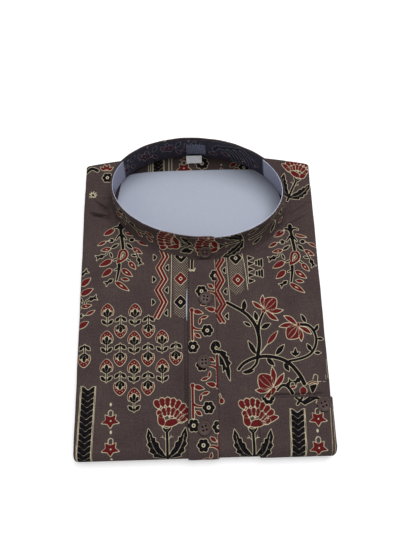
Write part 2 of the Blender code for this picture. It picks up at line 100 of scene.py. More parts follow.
swells = (  # x, y, reach across, reach along, height
    (0.0, 0.045, 0.07, 0.045, 0.0012),
    (-0.06, -0.06, 0.05, 0.06, 0.0006),
    (0.065, -0.05, 0.045, 0.05, 0.0008),
)
creases = (  # from x, y, to x, y, half width, height, and the share of that width on the steep side
    (-0.123, 0.0965, -0.082, 0.087, 0.0056, 0.0036, 0.3),
    (-0.113, 0.109, -0.074, 0.083, 0.005, 0.0034, 0.32),
    (0.042, 0.05, 0.096, 0.074, 0.0054, 0.0032, 0.3),
    (-0.1235, 0.0943, -0.086, 0.0856, 0.0013, -0.003),         # the sharp foot of each of those three
    (-0.1105, 0.105, -0.076, 0.0818, 0.0013, -0.0026),
    (0.043, 0.048, 0.097, 0.0718, 0.0014, -0.0024),
    (-0.104, 0.114, -0.086, 0.101, 0.004, 0.0012, 0.4),        # from here on, the small ones
    (-0.124, 0.088, -0.078, 0.074, 0.006, 0.001, 0.4),
    (-0.124, 0.076, -0.096, 0.076, 0.004, -0.0006),
    (-0.096, 0.072, -0.068, 0.06, 0.004, 0.0008),
    (0.056, 0.045, 0.11, 0.068, 0.0046, 0.0018, 0.35),
    (0.07, 0.064, 0.118, 0.088, 0.004, 0.0026, 0.32),
    (0.068, 0.035, 0.112, 0.052, 0.004, 0.0008, 0.5),
    (0.086, 0.08, 0.12, 0.102, 0.0036, 0.0022, 0.34),
    (0.093, 0.09, 0.116, 0.108, 0.003, 0.001, 0.4),
    (-0.056, 0.046, -0.03, 0.025, 0.0034, -0.0006),
    (-0.07, 0.056, -0.06, 0.03, 0.0034, 0.0007),
    (-0.048, 0.04, -0.02, 0.034, 0.0026, 0.0006),
    (0.027, 0.033, 0.036, 0.005, 0.003, 0.0006),
    (-0.018, 0.02, -0.02, -0.05, 0.0026, 0.0006),
    (-0.019, -0.07, -0.021, -0.128, 0.0028, 0.0005),
    (0.023, -0.04, 0.021, -0.095, 0.0026, 0.0005),
    (-0.115, -0.03, -0.085, -0.052, 0.0044, 0.0006),
    (-0.11, -0.108, -0.06, -0.118, 0.005, -0.0006),
    (-0.118, 0.03, -0.096, 0.038, 0.0044, 0.0006),
    (0.096, 0.0, 0.118, 0.01, 0.004, 0.0006),
    (0.056, -0.088, 0.09, -0.098, 0.0034, -0.0006),
    (0.098, -0.09, 0.116, -0.096, 0.0026, 0.0008),
    (0.03, -0.102, 0.048, -0.104, 0.003, -0.0005),
    (0.056, -0.1018, 0.119, -0.1026, 0.0015, -0.003),         # drawn in along the pocket's mouth
    (-0.0133, 0.036, -0.0172, -0.148, 0.0012, -0.0028),       # and along the placket's open edge
)
ripples = (  # waves across and along in two metres, phase, height: how cloth never lies dead flat
    (31.0, 17.0, 0.4, 0.0001), (-22.0, 37.0, 2.1, 0.00009), (54.0, -29.0, 4.0, 0.00005),
    (13.0, 61.0, 1.2, 0.00005), (-71.0, -43.0, 5.2, 0.00003),
)
crease = {
    "bow": 0.036, "start": (-0.2, 0.25), "end": (1.2, 0.75),          # shares of its length
    "neckFade": (1.015, 1.07), "sideFade": (0.1215, 0.114), "nearFade": (0.004, 0.03),
}

# The collar's two rings, at the neck seam and at its upper edge
collar = {
    "wall": 0.0014, "base": (0.0945, 0.0593), "baseY": 0.0998, "pointed": 1.15,
    "top": (0.088, 0.0515), "topAt": (-0.0009, 0.1056), "tilt": -5.5,
    "frontTop": 0.05, "backTop": 0.0608, "lap": (-3.9, 374.5), "lapRise": (75, 16), "corner": 0.006,
    "height": 0.032, "frontShare": 1.5, "bendIn": (0.5, 0.95), "bendUp": (0.5, 0.2), "lean": 0.7,
    "columns": 620, "rows": 42, "innerRows": 30, "rimRows": 6,
    "seams": (0.055, 0.94), "seamHalf": 0.0006, "seamDepth": 0.00016,
    "waves": ((140, 3, 0.0, 0.00013), (310, 0, 1.0, 0.00009)),        # round, up, phase, height
    "insideApart": 0.05,                                              # its two sides, in the flat places
    "cut": (math.radians(378.4), 1.15),                               # round and up, with its turnings
}


# The form of the cloth
def halfWidth(side, y):
    t = np.clip((y - fold["near"]) / (fold["far"] - fold["near"]), 0.0, 1.0)
    plain = np.where(side < 0, mix(*fold["left"], t), mix(*fold["right"], t))
    wave = sum(share * np.sin(often * y + np.where(side < 0, left, right))
               for often, left, right, share in fold["edgeWaves"])
    return plain + fold["edgeWave"] * (wave - 1.0) * 0.5


def seamY(x):
    return fold["seam"] + fold["seamSkew"] * x


def farY(x):
    return fold["far"] + fold["skew"] * x - fold["shoulderDrop"] * x * x


def relief(x, y):
    total = sum(height * bell(x - cx, rx) * bell(y - cy, ry) for cx, cy, rx, ry, height in swells)
    fromNeck = np.hypot(x / collar["base"][0], (y - collar["baseY"]) / collar["base"][1])
    byNeck = smooth(*crease["neckFade"], fromNeck)
    for ax, ay, bx, by, half, height, *steep in creases:
        dx, dy = bx - ax, by - ay
        size = math.hypot(dx, dy)
        t = ((x - ax) * dx + (y - ay) * dy) / size**2
        bow = crease["bow"] * size * t * (1 - t)              # no crease is quite straight
        off = ((x - ax) * dy - (y - ay) * dx) / size - bow
        reach = np.where(off > 0, half * (steep[0] if steep else 1.0), half)
        share = smooth(*crease["start"], t) * smooth(*crease["end"], t)
        total = total + height * bell(off, reach) * share * byNeck
    for across, along, phase, height in ripples:
        total = total + height * np.sin(tau * (across * x + along * y) / 2 + phase) * byNeck
    start, end = (fold["near"] + v for v in crease["nearFade"])
    return total * smooth(*crease["sideFade"], np.abs(x)) * smooth(start, end, y)


def sideFold(along):              # radius and turn of the side folds
    t = smooth(foldY, underStart, along)
    start, end = (fold["near"] - v for v in fold["underTurnFrom"])
    turn = mix(fold["sideTurn"], mix(*fold["underTurn"], smooth(start, end, along)), t)
    return mix(fold["sideRadius"], fold["underRadius"], t), np.radians(turn)


def acrossFold(across, flat, radius, out):
    side = np.where(across < 0, -1.0, 1.0)
    turn = np.maximum(np.abs(across) - flat, 0.0) / radius
    x = np.where(turn == 0, across, side * (flat + (radius + out) * np.sin(turn)))
    return x, np.where(turn == 0, out, (radius + out) * np.cos(turn) - radius)


def clothPoint(across, along, out=0.0):
    across, along, out = spread(across, along, out)
    run = foldY + underStart - along      # along the underside, from the lower fold
    atY = np.where(along > foldY, along, np.where(along > underStart, fold["near"], run))
    radius, _ = sideFold(along)
    x, rise = acrossFold(across, halfWidth(across, atY) - radius, radius, out)
    top = place(x, along, fold["thick"] + rise + relief(x, along))
    turn = (foldY - along) / lowRadius
    reach = lowRadius + rise
    low = place(x, foldY - reach * np.sin(turn), lowRadius + reach * np.cos(turn))
    r = fold["underFarRadius"]
    farFold = fold["underFar"] + fold["skew"] * x - r
    turn = (run - farFold) / r
    far = place(x, farFold + (r + rise) * np.sin(turn), r - (r + rise) * np.cos(turn))
    tucked = place(x, farFold - (turn - math.pi) * r, 2 * r + rise)
    under = pick(run <= farFold, place(x, run, -rise), pick(turn <= math.pi, far, tucked))
    return pick(along >= foldY, top, pick(along >= underStart, low, under))


def yokePoint(across, along, out=0.0):
    across, along, out = spread(across, along, out)
    flat = halfWidth(across, np.minimum(along, fold["far"])) - fold["sideRadius"]
    x, rise = acrossFold(across, flat, fold["sideRadius"], out)
    radius = fold["yokeRadius"] + fold["yokeGrowth"] * x * x
    start = farY(x) - radius
    turn = (along - start) / radius
    top = place(x, along, fold["thick"] + rise + relief(x, along))
    reach = radius + rise
    bent = place(x, start + reach * np.sin(turn), fold["thick"] - radius + reach * np.cos(turn))
    below = place(x, start - (turn - math.pi) * radius, fold["thick"] - 2 * radius - rise)
    return pick(along <= start, top, pick(turn <= math.pi, bent, below))


def ringPoint(angle, size, middle, pointed, out):
    a, b = size
    c, s = np.cos(angle - math.pi / 2), np.sin(angle - math.pi / 2)
    shaped = np.where(s >= 0, s, -np.abs(s) ** pointed)
    normal = unit(np.stack((c / a, s / b), -1))
    at = np.stack((a * c, b * shaped), -1) + normal * np.asarray(out, float)[..., None]
    return turnBy(collar["tilt"], at) + np.asarray(middle)


def neckRing(angle, out, pointed=collar["pointed"]):
    return ringPoint(angle, collar["base"], (0.0, collar["baseY"]), pointed, out)


def bandPoint(angle, rise, out=0.0):
    angle, rise, out = spread(angle, rise, out)
    lapStart, lapEnd = (math.radians(v) for v in collar["lapRise"])
    out = out + (collar["wall"] + fold["gap"]) * smooth(lapStart, lapEnd, angle)
    front = ((1 + np.cos(angle)) / 2) ** collar["frontShare"]
    bends = (mix(*collar[k], front) for k in ("bendIn", "bendUp"))
    inward, up = (2 * rise * (1 - rise) * bend + rise * rise for bend in bends)
    low = neckRing(angle, out)
    high = ringPoint(angle, collar["top"], collar["topAt"], 1.0, out)
    seat = fold["thick"] + fold["gap"] + relief(low[..., 0], low[..., 1])
    top = mix(collar["backTop"], collar["frontTop"], (1 + np.cos(angle)) / 2)
    at = low + (high - low) * inward[..., None]
    lean = out * collar["lean"] * front * (1 - rise) * smooth(0.0, 0.2, rise)
    return place(at[..., 0], at[..., 1], mix(seat, top, up) + lean)


def outsideNeck(points, clear):
    local = turnBy(-collar["tilt"], points[..., :2] - np.array((0.0, collar["baseY"])))
    a, b = collar["base"][0] + clear, collar["base"][1] + clear
    y = local[..., 1] / b
    y = np.where(y < 0, np.abs(y) ** (1 / collar["pointed"]), y)
    return np.hypot(local[..., 0] / a, y) > 1.0


# Each cut piece has a sheet of ink distances, in millimetres of flat cloth. Motifs are drawn on it
# with a pen: closed shapes and strokes. A point's ink is read off where it lies on the cut piece.
ink = {
    "pitch": 0.36, "reach": 2.0, "outline": 0.48, "spread": 0.16, "apart": 0.32, "shift": (0.12, -0.1),
    "layers": {"redInk": "Red Ink", "blackInk": "Black Ink", "creamInk": "Cream Ink", "lattice": "Lattice"},
    "bleedScale": 1300, "edge": 0.16, "patchScale": 520, "patchy": (0.8, 1.0), "creamPatchy": 0.9,
    "cell": 0.0027, "dot": (0.16, 0.27), "dotShare": 0.62, "wornScale": 760, "worn": (0.72, 1.26),
}
tiny = 1e-9


def stamp(sheet, layer, points, half=None):           # a closed shape, or a stroke of this half width
    points = np.asarray(points, float)
    margin = ink["reach"] + (0.0 if half is None else float(np.max(half)))
    pitch, corner = sheet["pitch"], (sheet["x0"], sheet["y0"])
    first = np.maximum(((points.min(0) - margin - corner) / pitch).astype(int), 0)
    last = np.minimum(((points.max(0) + margin - corner) / pitch).astype(int) + 2, sheet["shape"][::-1])
    if (first >= last).any():
        return
    (c0, r0), (c1, r1) = first, last
    px = sheet["x0"] + np.arange(c0, c1)[None, :] * pitch
    py = sheet["y0"] + np.arange(r0, r1)[:, None] * pitch
    best = np.full((r1 - r0, c1 - c0), 99.0)
    inside = np.zeros(best.shape, bool)
    ends = np.roll(points, -1, 0) if half is None else points[1:]
    widths = None if half is None else np.broadcast_to(np.asarray(half, float), (len(points),))
    for i, (end, start) in enumerate(zip(ends, points)):
        (dx, dy), fromX, fromY = end - start, px - start[0], py - start[1]
        t = np.clip((fromX * dx + fromY * dy) / max(dx * dx + dy * dy, tiny), 0, 1)
        away = np.hypot(fromX - t * dx, fromY - t * dy)
        if half is None:
            crosses = (start[1] > py) != (end[1] > py)
            inside ^= crosses & (fromX < fromY * dx / (dy if abs(dy) > tiny else tiny))
        else:
            away = away - mix(widths[i], widths[i + 1], t)
        best = np.minimum(best, away)
    best = np.where(inside, -best, best)
    window = sheet[layer][r0:r1, c0:c1]
    np.minimum(window, best, out=window)


def penOn(sheet, at=(0, 0), turn=0, size=1.0, flip=False):
    def pen(layer, points, half=None):
        points = np.asarray(points, float) * (-size if flip else size, size)
        stamp(sheet, layer, turnBy(turn, points) + at, None if half is None else np.asarray(half) * size)
    return pen


def curve(*points, steps=7):      # a smooth line through its points
    points = np.asarray(points, float)
    padded = np.vstack((2 * points[0] - points[1], points, 2 * points[-1] - points[-2]))
    t = np.linspace(0, 1, steps, endpoint=False)[:, None]
    runs = []
    for a, b, c, d in zip(padded, padded[1:], padded[2:], padded[3:]):
        squared, cubed = 2 * a - 5 * b + 4 * c - d, 3 * b - a - 3 * c + d
        runs.append(0.5 * (2 * b + (c - a) * t + squared * t**2 + cubed * t**3))
    return np.vstack(runs + [points[-1:]])


def blade(base, tip, width, fat=0.5, roundBase=0.9, roundTip=1.0, bend=0.0, teeth=0, steps=11):
    base, tip = np.asarray(base, float), np.asarray(tip, float)
    axis = tip - base
    side = unit(np.array((-axis[1], axis[0])))
    t = np.linspace(0, 1, steps if not teeth else teeth * 6 + 1)
    bulge = np.sin(math.pi * t ** (math.log(0.5) / math.log(fat)))
    swell = bulge ** mix(roundBase, roundTip, t) * width / 2
    if teeth:
        swell = swell * (1.2 - 0.62 * ((t * teeth) % 1.0))
    middle = base + axis * t[:, None] + side * (bend * 4 * t * (1 - t))[:, None]
    left, right = middle + side * swell[:, None], middle - side * swell[:, None]
    return np.vstack((left, right[-2:0:-1]))


def disc(at, radius, wide=1.0, steps=14):
    turns = np.arange(steps) / steps * tau
    return np.asarray(at, float) + radius * way(turns) * (wide, 1)


def drawLine(pen, layer, half, *points, steps=7):     # half: one half width, or the first and last
    line = curve(*points, steps=steps)
    pen(layer, line, np.linspace(*half, len(line)) if isinstance(half, tuple) else half)


def drawLeaves(pen, **leaves):    # of each ink: base, tip, width and form
    for layer, rows in leaves.items():
        drawEach(lambda pen, *row: pen(layer, blade(*row)), pen, rows)


def drawScatter(pen, **leaves):   # loose leaves, of each ink: base, tip, width
    drawLeaves(pen, **{layer: [(*row, 0.45) for row in rows] for layer, rows in leaves.items()})


def drawEach(draw, pen, rows):
    for row in rows:
        draw(pen, *row)


def drawAt(draw, sheet, places, **form):
    for at in places:
        draw(penOn(sheet, at, **form))


def closed(shape):
    return np.vstack((shape, shape[:1]))


def drawPetal(pen, shape):        # red, with its own pale rim where it meets the next one
    pen("red", shape)
    pen("cream", closed(shape), 0.24)


def drawEyeLeaf(pen, base, tip, width):               # a red leaf with a pale eye
    base, tip = np.asarray(base, float), np.asarray(tip, float)
    pen("red", blade(base, tip, width, 0.42, 0.7))
    pen("cream", blade(mix(base, tip, 0.3), mix(base, tip, 0.62), width * 0.24, 0.4))


def drawFish(pen, head, tail, width):                 # a little black leaf with a forked tail
    head, tail = np.asarray(head, float), np.asarray(tail, float)
    axis = tail - head
    side = unit(np.array((-axis[1], axis[0]))) * width / 2
    shape = ((0, 0), (0.3, 0.9), (0.62, 0.35), (1.0, 1.15), (0.86, 0), (1.0, -1.15), (0.62, -0.35),
            (0.3, -0.9))
    pen("black", [head + axis * a + side * b for a, b in shape])


def drawFlower(pen, at, radius, petals=6):            # a black daisy with a pale eye
    at = np.asarray(at, float)
    turns = np.arange(petals * 6) / (petals * 6) * tau
    reach = radius * (0.76 + 0.26 * np.abs(np.cos(turns * petals / 2)) ** 0.7)
    pen("black", np.vstack((closed(at + reach[:, None] * way(turns)),
            closed(disc(at, radius * 0.36)[::-1]))))
    pen("cream", closed(disc(at, radius * 0.24)), 0.42)


def drawSpray(pen):
    pen("black", curve((-2.8, 35), (-2.6, 29), (-1.9, 24), (-0.6, 16), (0.2, 8.6)),
        [2.3, 2.2, 2.1] + [1.5] * 26)
    for side in (-1, 1):
        drawLine(pen, "black", (1.3, 0.5), (-2, 24), (-2 + side * 2.6, 22.4), (-2 + side * 5.4, 18.6))
        drawLine(pen, "black", (1.4, 0.5), (-2.6, 30), (-2.6 + side * 4, 32.6), (-2.6 + side * 8, 31))
        pen("black", disc((-1.4 + side * 10.9, 17.6), 1.9, 1.3))
    drawLine(pen, "red", 1.35, (-4.9, -7.2), (-3.8, -0.5), (-2.6, 4.2), (0.2, 6.4), (3.4, 4.6), (4.3, 0.6),
            (1.8, -3.2), (-4.9, -7.2))
    drawLeaves(pen, cream=[((-1.6, -3), (0.9, 3), 1.3, 0.6)], red=[
        ((-9.4, 30), (-20.6, 24), 5.6, 0.45, 0.6, 0.8), ((2.2, 25.6), (14.4, 22.2), 2.6, 0.4),
        ((-18, 16.8), (-26.9, 12.4), 3.2, 0.45), ((16, 15.8), (26.6, 10.6), 2.8, 0.4),
        ((-11.6, -4.2), (-24.2, -10.6), 5.8, 0.4, 0.6, 0.9),
        ((-11.4, -14), (-21.4, -22), 5.8, 0.4, 0.6, 0.9), ((-1.2, -24.6), (7.4, -26.4), 3.2),
    ], black=[
        ((-4.4, 13.6), (-12.4, 8.8), 2.9, 0.55), ((3.6, 13.6), (10.4, 7.6), 3.1, 0.45),
        ((-13.4, 4.2), (-11.2, -1.4), 2.1), ((9.2, 0.8), (14.6, -0.6), 2),
    ])
    drawLine(pen, "black", (1.7, 0.8), (-3.6, -9.4), (-3.9, -15), (-5.9, -26))
    drawLine(pen, "black", 0.6, (-3.8, -13), (-8.2, -15))
    pen("cream", ((-13.5, 17.6), (-17.6, 17)), 0.42)
    pen("cream", ((12, 17.4), (16, 15.9)), 0.42)
    drawEach(drawEyeLeaf, pen, (
        ((-12.7, 8.4), (-23.4, 6.9), 4.2), ((10.9, 7.8), (20.8, 1.9), 4.4),
        ((6.8, -6.4), (14, -15), 5), ((-0.6, -14.4), (10.6, -22.6), 5.4),
        ((-7.4, -27.6), (7.4, -38), 5),
    ))
    drawEach(drawFish, pen, (
        ((-19.6, 1.2), (-28.4, -1.4), 5), ((16.2, -2), (19.4, -10.4), 5),
        ((-9.8, -25), (-18, -30.2), 4.6),
    ))
    drawLine(pen, "black", 0.5, (-16.6, 5.4), (-17.2, 2.6), (-19.8, 1.2))
    drawLine(pen, "black", 0.5, (13.8, 3.4), (15.4, 0.6), (16.2, -2))
    pen("black", ((-9.6, -4.4), (-5.6, -3)), 0.62)
    pen("black", ((5, -4), (7.4, -5.6)), 0.6)


def drawBud(pen):                 # one tulip of the small repeat, upright
    hood = curve((-5.4, -4.6), (-6.3, -0.6), (-4.6, 3.8), (0, 7.4), (4.6, 3.8), (6.3, -0.6), (5.4, -4.6))
    hollow = curve((3.8, -3.9), (3.9, -0.2), (0, 2.7), (-3.9, -0.2), (-3.8, -3.9))
    pen("red", np.vstack((hood, hollow)))
    arc = curve((-4.7, -2), (-4.5, 0.9), (0, 4.9), (4.5, 0.9), (4.7, -2), steps=4)
    for start, end in zip(arc[::2], arc[1::2]):       # pale dashes along the hood
        pen("cream", (start, mix(start, end, 0.5)), 0.4)
    pen("black", blade((0, -6.8), (0, 2.4), 3.6, 0.58, 0.6, 0.7))
    for side in (-1, 1):
        pen("black", blade((side * 0.5, -6.2), (side * 4.3, -0.9), 3.2, 0.58, 0.6, 0.7))
        drawLine(pen, "cream", 0.26, (side * 2.1, 0.6), (side * 1.7, -2.2), (side * 0.7, -4.8), steps=3)
        pen("black", blade((side * 0.9, -14), (side * 5.7, -9.3), 3.2, 0.55, 0.8, 1.1))
    pen("black", ((0, -7), (0, -14.9)), 0.4)


def drawCarnation(pen, stem=34, leaves=True):
    for k, turn in enumerate(np.radians((116, 103, 90, 77, 64, 51, 38))):         # the outer row of petals
        start = np.array((1, 1)) + way(turn) * (18.6 - 0.3 * k)
        drawPetal(pen, blade(start, start + way(turn) * 9.6, 5.9, 0.6, 0.45, 0.45))
    for turn in np.radians((124, 106, 89, 72, 55, 38, 24)):                       # and the inner one
        start = np.array((1.5, 1)) + way(turn) * 9.8
        drawPetal(pen, blade(start, start + way(turn) * 8.8, 5.4, 0.58, 0.5, 0.5))
    drawPetal(pen, curve((-8.8, 11.4), (-8, 4.4), (-3.6, 1.8), (-1.6, 6), (-5.2, 12.6), (-8.6, 11.8)))
    drawPetal(pen, curve((-2.8, 1.8), (5, 1.2), (13.4, 5.8), (8, 8.2), (0.4, 7), (-2.4, 2.6)))
    drawPetal(pen, curve((11.4, 5), (18, 5.8), (26, 10.6), (20, 12.6), (12.8, 9.4), (11.6, 5.6)))
    pen("cream", disc((2.6, 9.8), 0.9))
    pen("black", curve((-4.4, 0.6), (-3, -2.4), (0, -4.4), (3, -2.4), (4.4, 0.6), (2, -0.6), (0, -0.9),
            (-2, -0.6), (-4.2, 0.5), steps=4))
    drawLine(pen, "cream", 0.18, (-1.7, -1), (-0.6, -2.6), (0, -3.4), (0.6, -2.6), (1.7, -1), steps=3)
    if not leaves:
        return
    drawLine(pen, "black", 1.15, (0, -4), (0.4, -stem * 0.5), (0.2, -stem))
    toothed = ((1, -29.8), (7.4, -28.6), (13.2, -26.8), (12.6, -24.2), (17, -21.4), (15.9, -18.8),
            (19.2, -15), (17.8, -12.6), (19.6, -7.6), (18, -0.4), (14.6, -5.4), (13.8, -8.6), (11.4, -8.9),
            (11, -12.4), (8.2, -13.6), (7.4, -17.8), (4.4, -21), (1.6, -26.4))
    veins = ((curve((3.4, -27.2), (9.8, -22.2), (14.4, -14.4), (16.8, -5.6)), 0.3), (((9, -23),
            (12.4, -23.6)), 0.17), (((12.6, -18.4), (15.6, -18)), 0.17), (((15, -13), (17.2, -11.6)), 0.17),
            (((3.6, -8.8), (4.4, -6.2)), 0.26), (curve((1.4, -11), (3.4, -8.6), (6.2, -8.6), steps=4), 0.3))
    for side in (-1, 1):
        pen("black", np.array(toothed) * (side, 1))
        for line, half in veins:
            pen("cream", np.array(line) * (side, 1), half)


def drawLotus(pen):               # a round bud on its stem, pointed petals falling away on both sides
    for base, tip, width, bend in (((-1.2, 0.8), (-14.4, -1.2), 4, 0.8), ((-1.6, 1.6), (-11.2, 10.4), 4.2,
            0.8), ((1.2, 0.6), (16.2, 2), 4.4, -0.8), ((1.8, 1.6), (13.2, 13), 4.4, -0.8)):
        drawPetal(pen, blade(base, tip, width, 0.55, 0.6, 1.1, bend))
    drawPetal(pen, curve((-0.9, 1.2), (-5.4, 4.4), (-6.9, 9.4), (-3.6, 14.2), (0.4, 16.4), (4, 14),
            (6.7, 9.2), (5.2, 4.2), (0.9, 1.2)))
    drawLine(pen, "cream", 0.3, (-0.5, 2), (-2.2, 8.4), (-1.6, 14.2))
    drawLine(pen, "cream", 0.26, (0.7, 2), (1.9, 8), (1.9, 13.8))
    pen("red", disc((0, -0.8), 1.9))


def drawStar(pen):
    turns = np.radians(-90 + 36 * np.arange(10))
    reach = np.where(np.arange(10) % 2 == 0, 1, 0.52)
    pen("red", way(turns) * reach[:, None] * (9, 6.9))
    pen("cream", disc((0.2, 0), 0.9))
    drawLine(pen, "cream", 0.42, (-2.3, 5.4), (-2.2, 8.4), (0, 10), (2.2, 8.4), (2, 4.6))
    pen("cream", blade((0, 13.4), (0, 17.4), 2.3))


def drawChevrons(pen, length, pitch=5.55, half=6.2):
    top = curve((-half, 1.4), (-half * 0.6, 0.4), (0, -2.3), (half * 0.6, 0.4), (half, 1.4), steps=3)
    chevron = np.vstack((top, (top * (0.97, 1) - (0, pitch - 0.92))[::-1]))
    for k in range(int(length / pitch) + 1):
        pen("black", chevron - (0, k * pitch))
    for side in (-1, 1):
        pen("cream", ((side * (half + 1.4), 2), (side * (half + 1.4), 2 - length)), 0.3)


def drawZigzag(pen, peaks, apart=3.9):
    for shift in (-apart / 2, apart / 2):
        pen("red", np.asarray(peaks, float) + (shift, 0), 1.24)


def drawHalfRound(pen, at, side):  # a small black tooth pointing to one side
    pen("black", curve((0, -3.2), (2, -1.7), (3.2, 0), (2, 1.7), (0, 3.2)) * (side, 1) + at)


def drawLattice(pen, x0, x1, y0, y1, diamonds):
    pen("lattice", ((x0, y0 + 2), (mix(x0, x1, 0.5), y0 - 3), (x1, y0 + 2), (x1, y1), (x0, y1)))
    for k, (x, y) in enumerate(diamonds):
        outer, inner = ("black", "red") if k % 2 == 0 else ("red", "black")
        ring = np.array(((x, y + 4.9), (x + 4.6, y), (x, y - 4.9), (x - 4.6, y), (x, y + 4.9)))
        pen(outer, ring, 1.6)
        pen("cream", (ring - (x, y)) * 0.4 + (x, y), 0.36)
        pen(inner, disc((x, y), 1.1))


def drawVine(pen):                # a red stem with leaves and two daisies
    pen("red", disc((0, 0), 2.1))
    pen("red", ((0, -1), (0, -30)), 1.15)
    drawLeaves(pen, red=[((2.2, -1), (11.6, -3.6), 4.6, 0.35, 0.6), ((8.6, -8.8), (16.4, -6.6), 2.9),
            ((7.4, -14.8), (8.6, -8.2), 2.6), ((2.4, -24), (8.6, -28.4), 3.6)])
    drawLine(pen, "red", (1.2, 0.7), (0.4, -17.6), (4.6, -19.8), (8.8, -20.2))
    drawFlower(pen, (15.2, -21.2), 5.9)
    drawFlower(pen, (0.2, -37.4), 5.9)


def drawFeather(pen):             # a drooping black leaf with ragged edges, under a curl
    drawLine(pen, "black", 1.55, (3.4, -4.6), (2.2, -1.4), (-1.2, -1.4), (-3.4, -5.4), (-1.2, -8.8),
            (2.8, -10.2))
    pen("black", ((1.4, -9), (6, -8.8), (10.8, -11.2), (9.8, -14), (12.8, -15.6), (12.2, -18.4),
            (15.2, -21.7), (12.8, -24), (13.8, -29), (13.4, -38.6), (10.2, -32.8), (9.2, -27.2),
            (6.6, -30.2), (6.4, -23.2), (3.8, -23), (3.2, -13)))
    drawLine(pen, "cream", 0.42, (3.2, -12), (7.4, -17.6), (10.2, -25))


def drawStack(pen):               # small teeth and barred blocks beside a column
    for k in range(5):
        pen("black", ((-0.4, 9.2 - k * 6.2), (5.8, 11.5 - k * 6.2), (-0.4, 13.8 - k * 6.2)))
    for y in (6, -5.4):
        for k in range(3):
            x = 8.2 + k * 2.9
            pen("black", ((x, y - 1.6 - k * 0.9), (x, y + 1.6 + k * 0.9)), 1)


vineLeaves = {
    "black": [((43.6, -17.4), (44.5, -6.6), 4.8), ((56.4, -28.2), (54.6, -18.8), 4.2),
        ((60.4, -36.2), (70, -31.6), 4.6), ((53.2, -61.8), (46.2, -48.6), 4.4),
        ((73.4, -63), (82.4, -53.4), 4.6), ((64.2, -66.6), (71.4, -73.8), 4.4),
        ((81.2, -71.8), (85.7, -79.6), 4.2), ((109.4, -60.2), (105.6, -53.2), 3.8),
        ((112.6, -62.2), (118.9, -62.6), 2.8), ((116.6, -48.1), (123, -48.9), 2.6),
        ((114.8, -40.4), (118.8, -34.2), 3.2), ((106.3, -31.6), (102.1, -23.1), 3.4),
        ((49.6, -33.6), (42.8, -29.4), 2.8), ((50.6, -77.6), (40.8, -80.6), 2.8),
        ((93, -65.4), (93.5, -56.8), 3), ((93, -64.4), (88.8, -61), 2),
        ((93.2, -64.2), (97.6, -61.4), 2)],
    "red": [((65.6, -52.4), (76.9, -39.4), 4.6), ((70.4, -97.4), (63.4, -103), 3.8)],
}


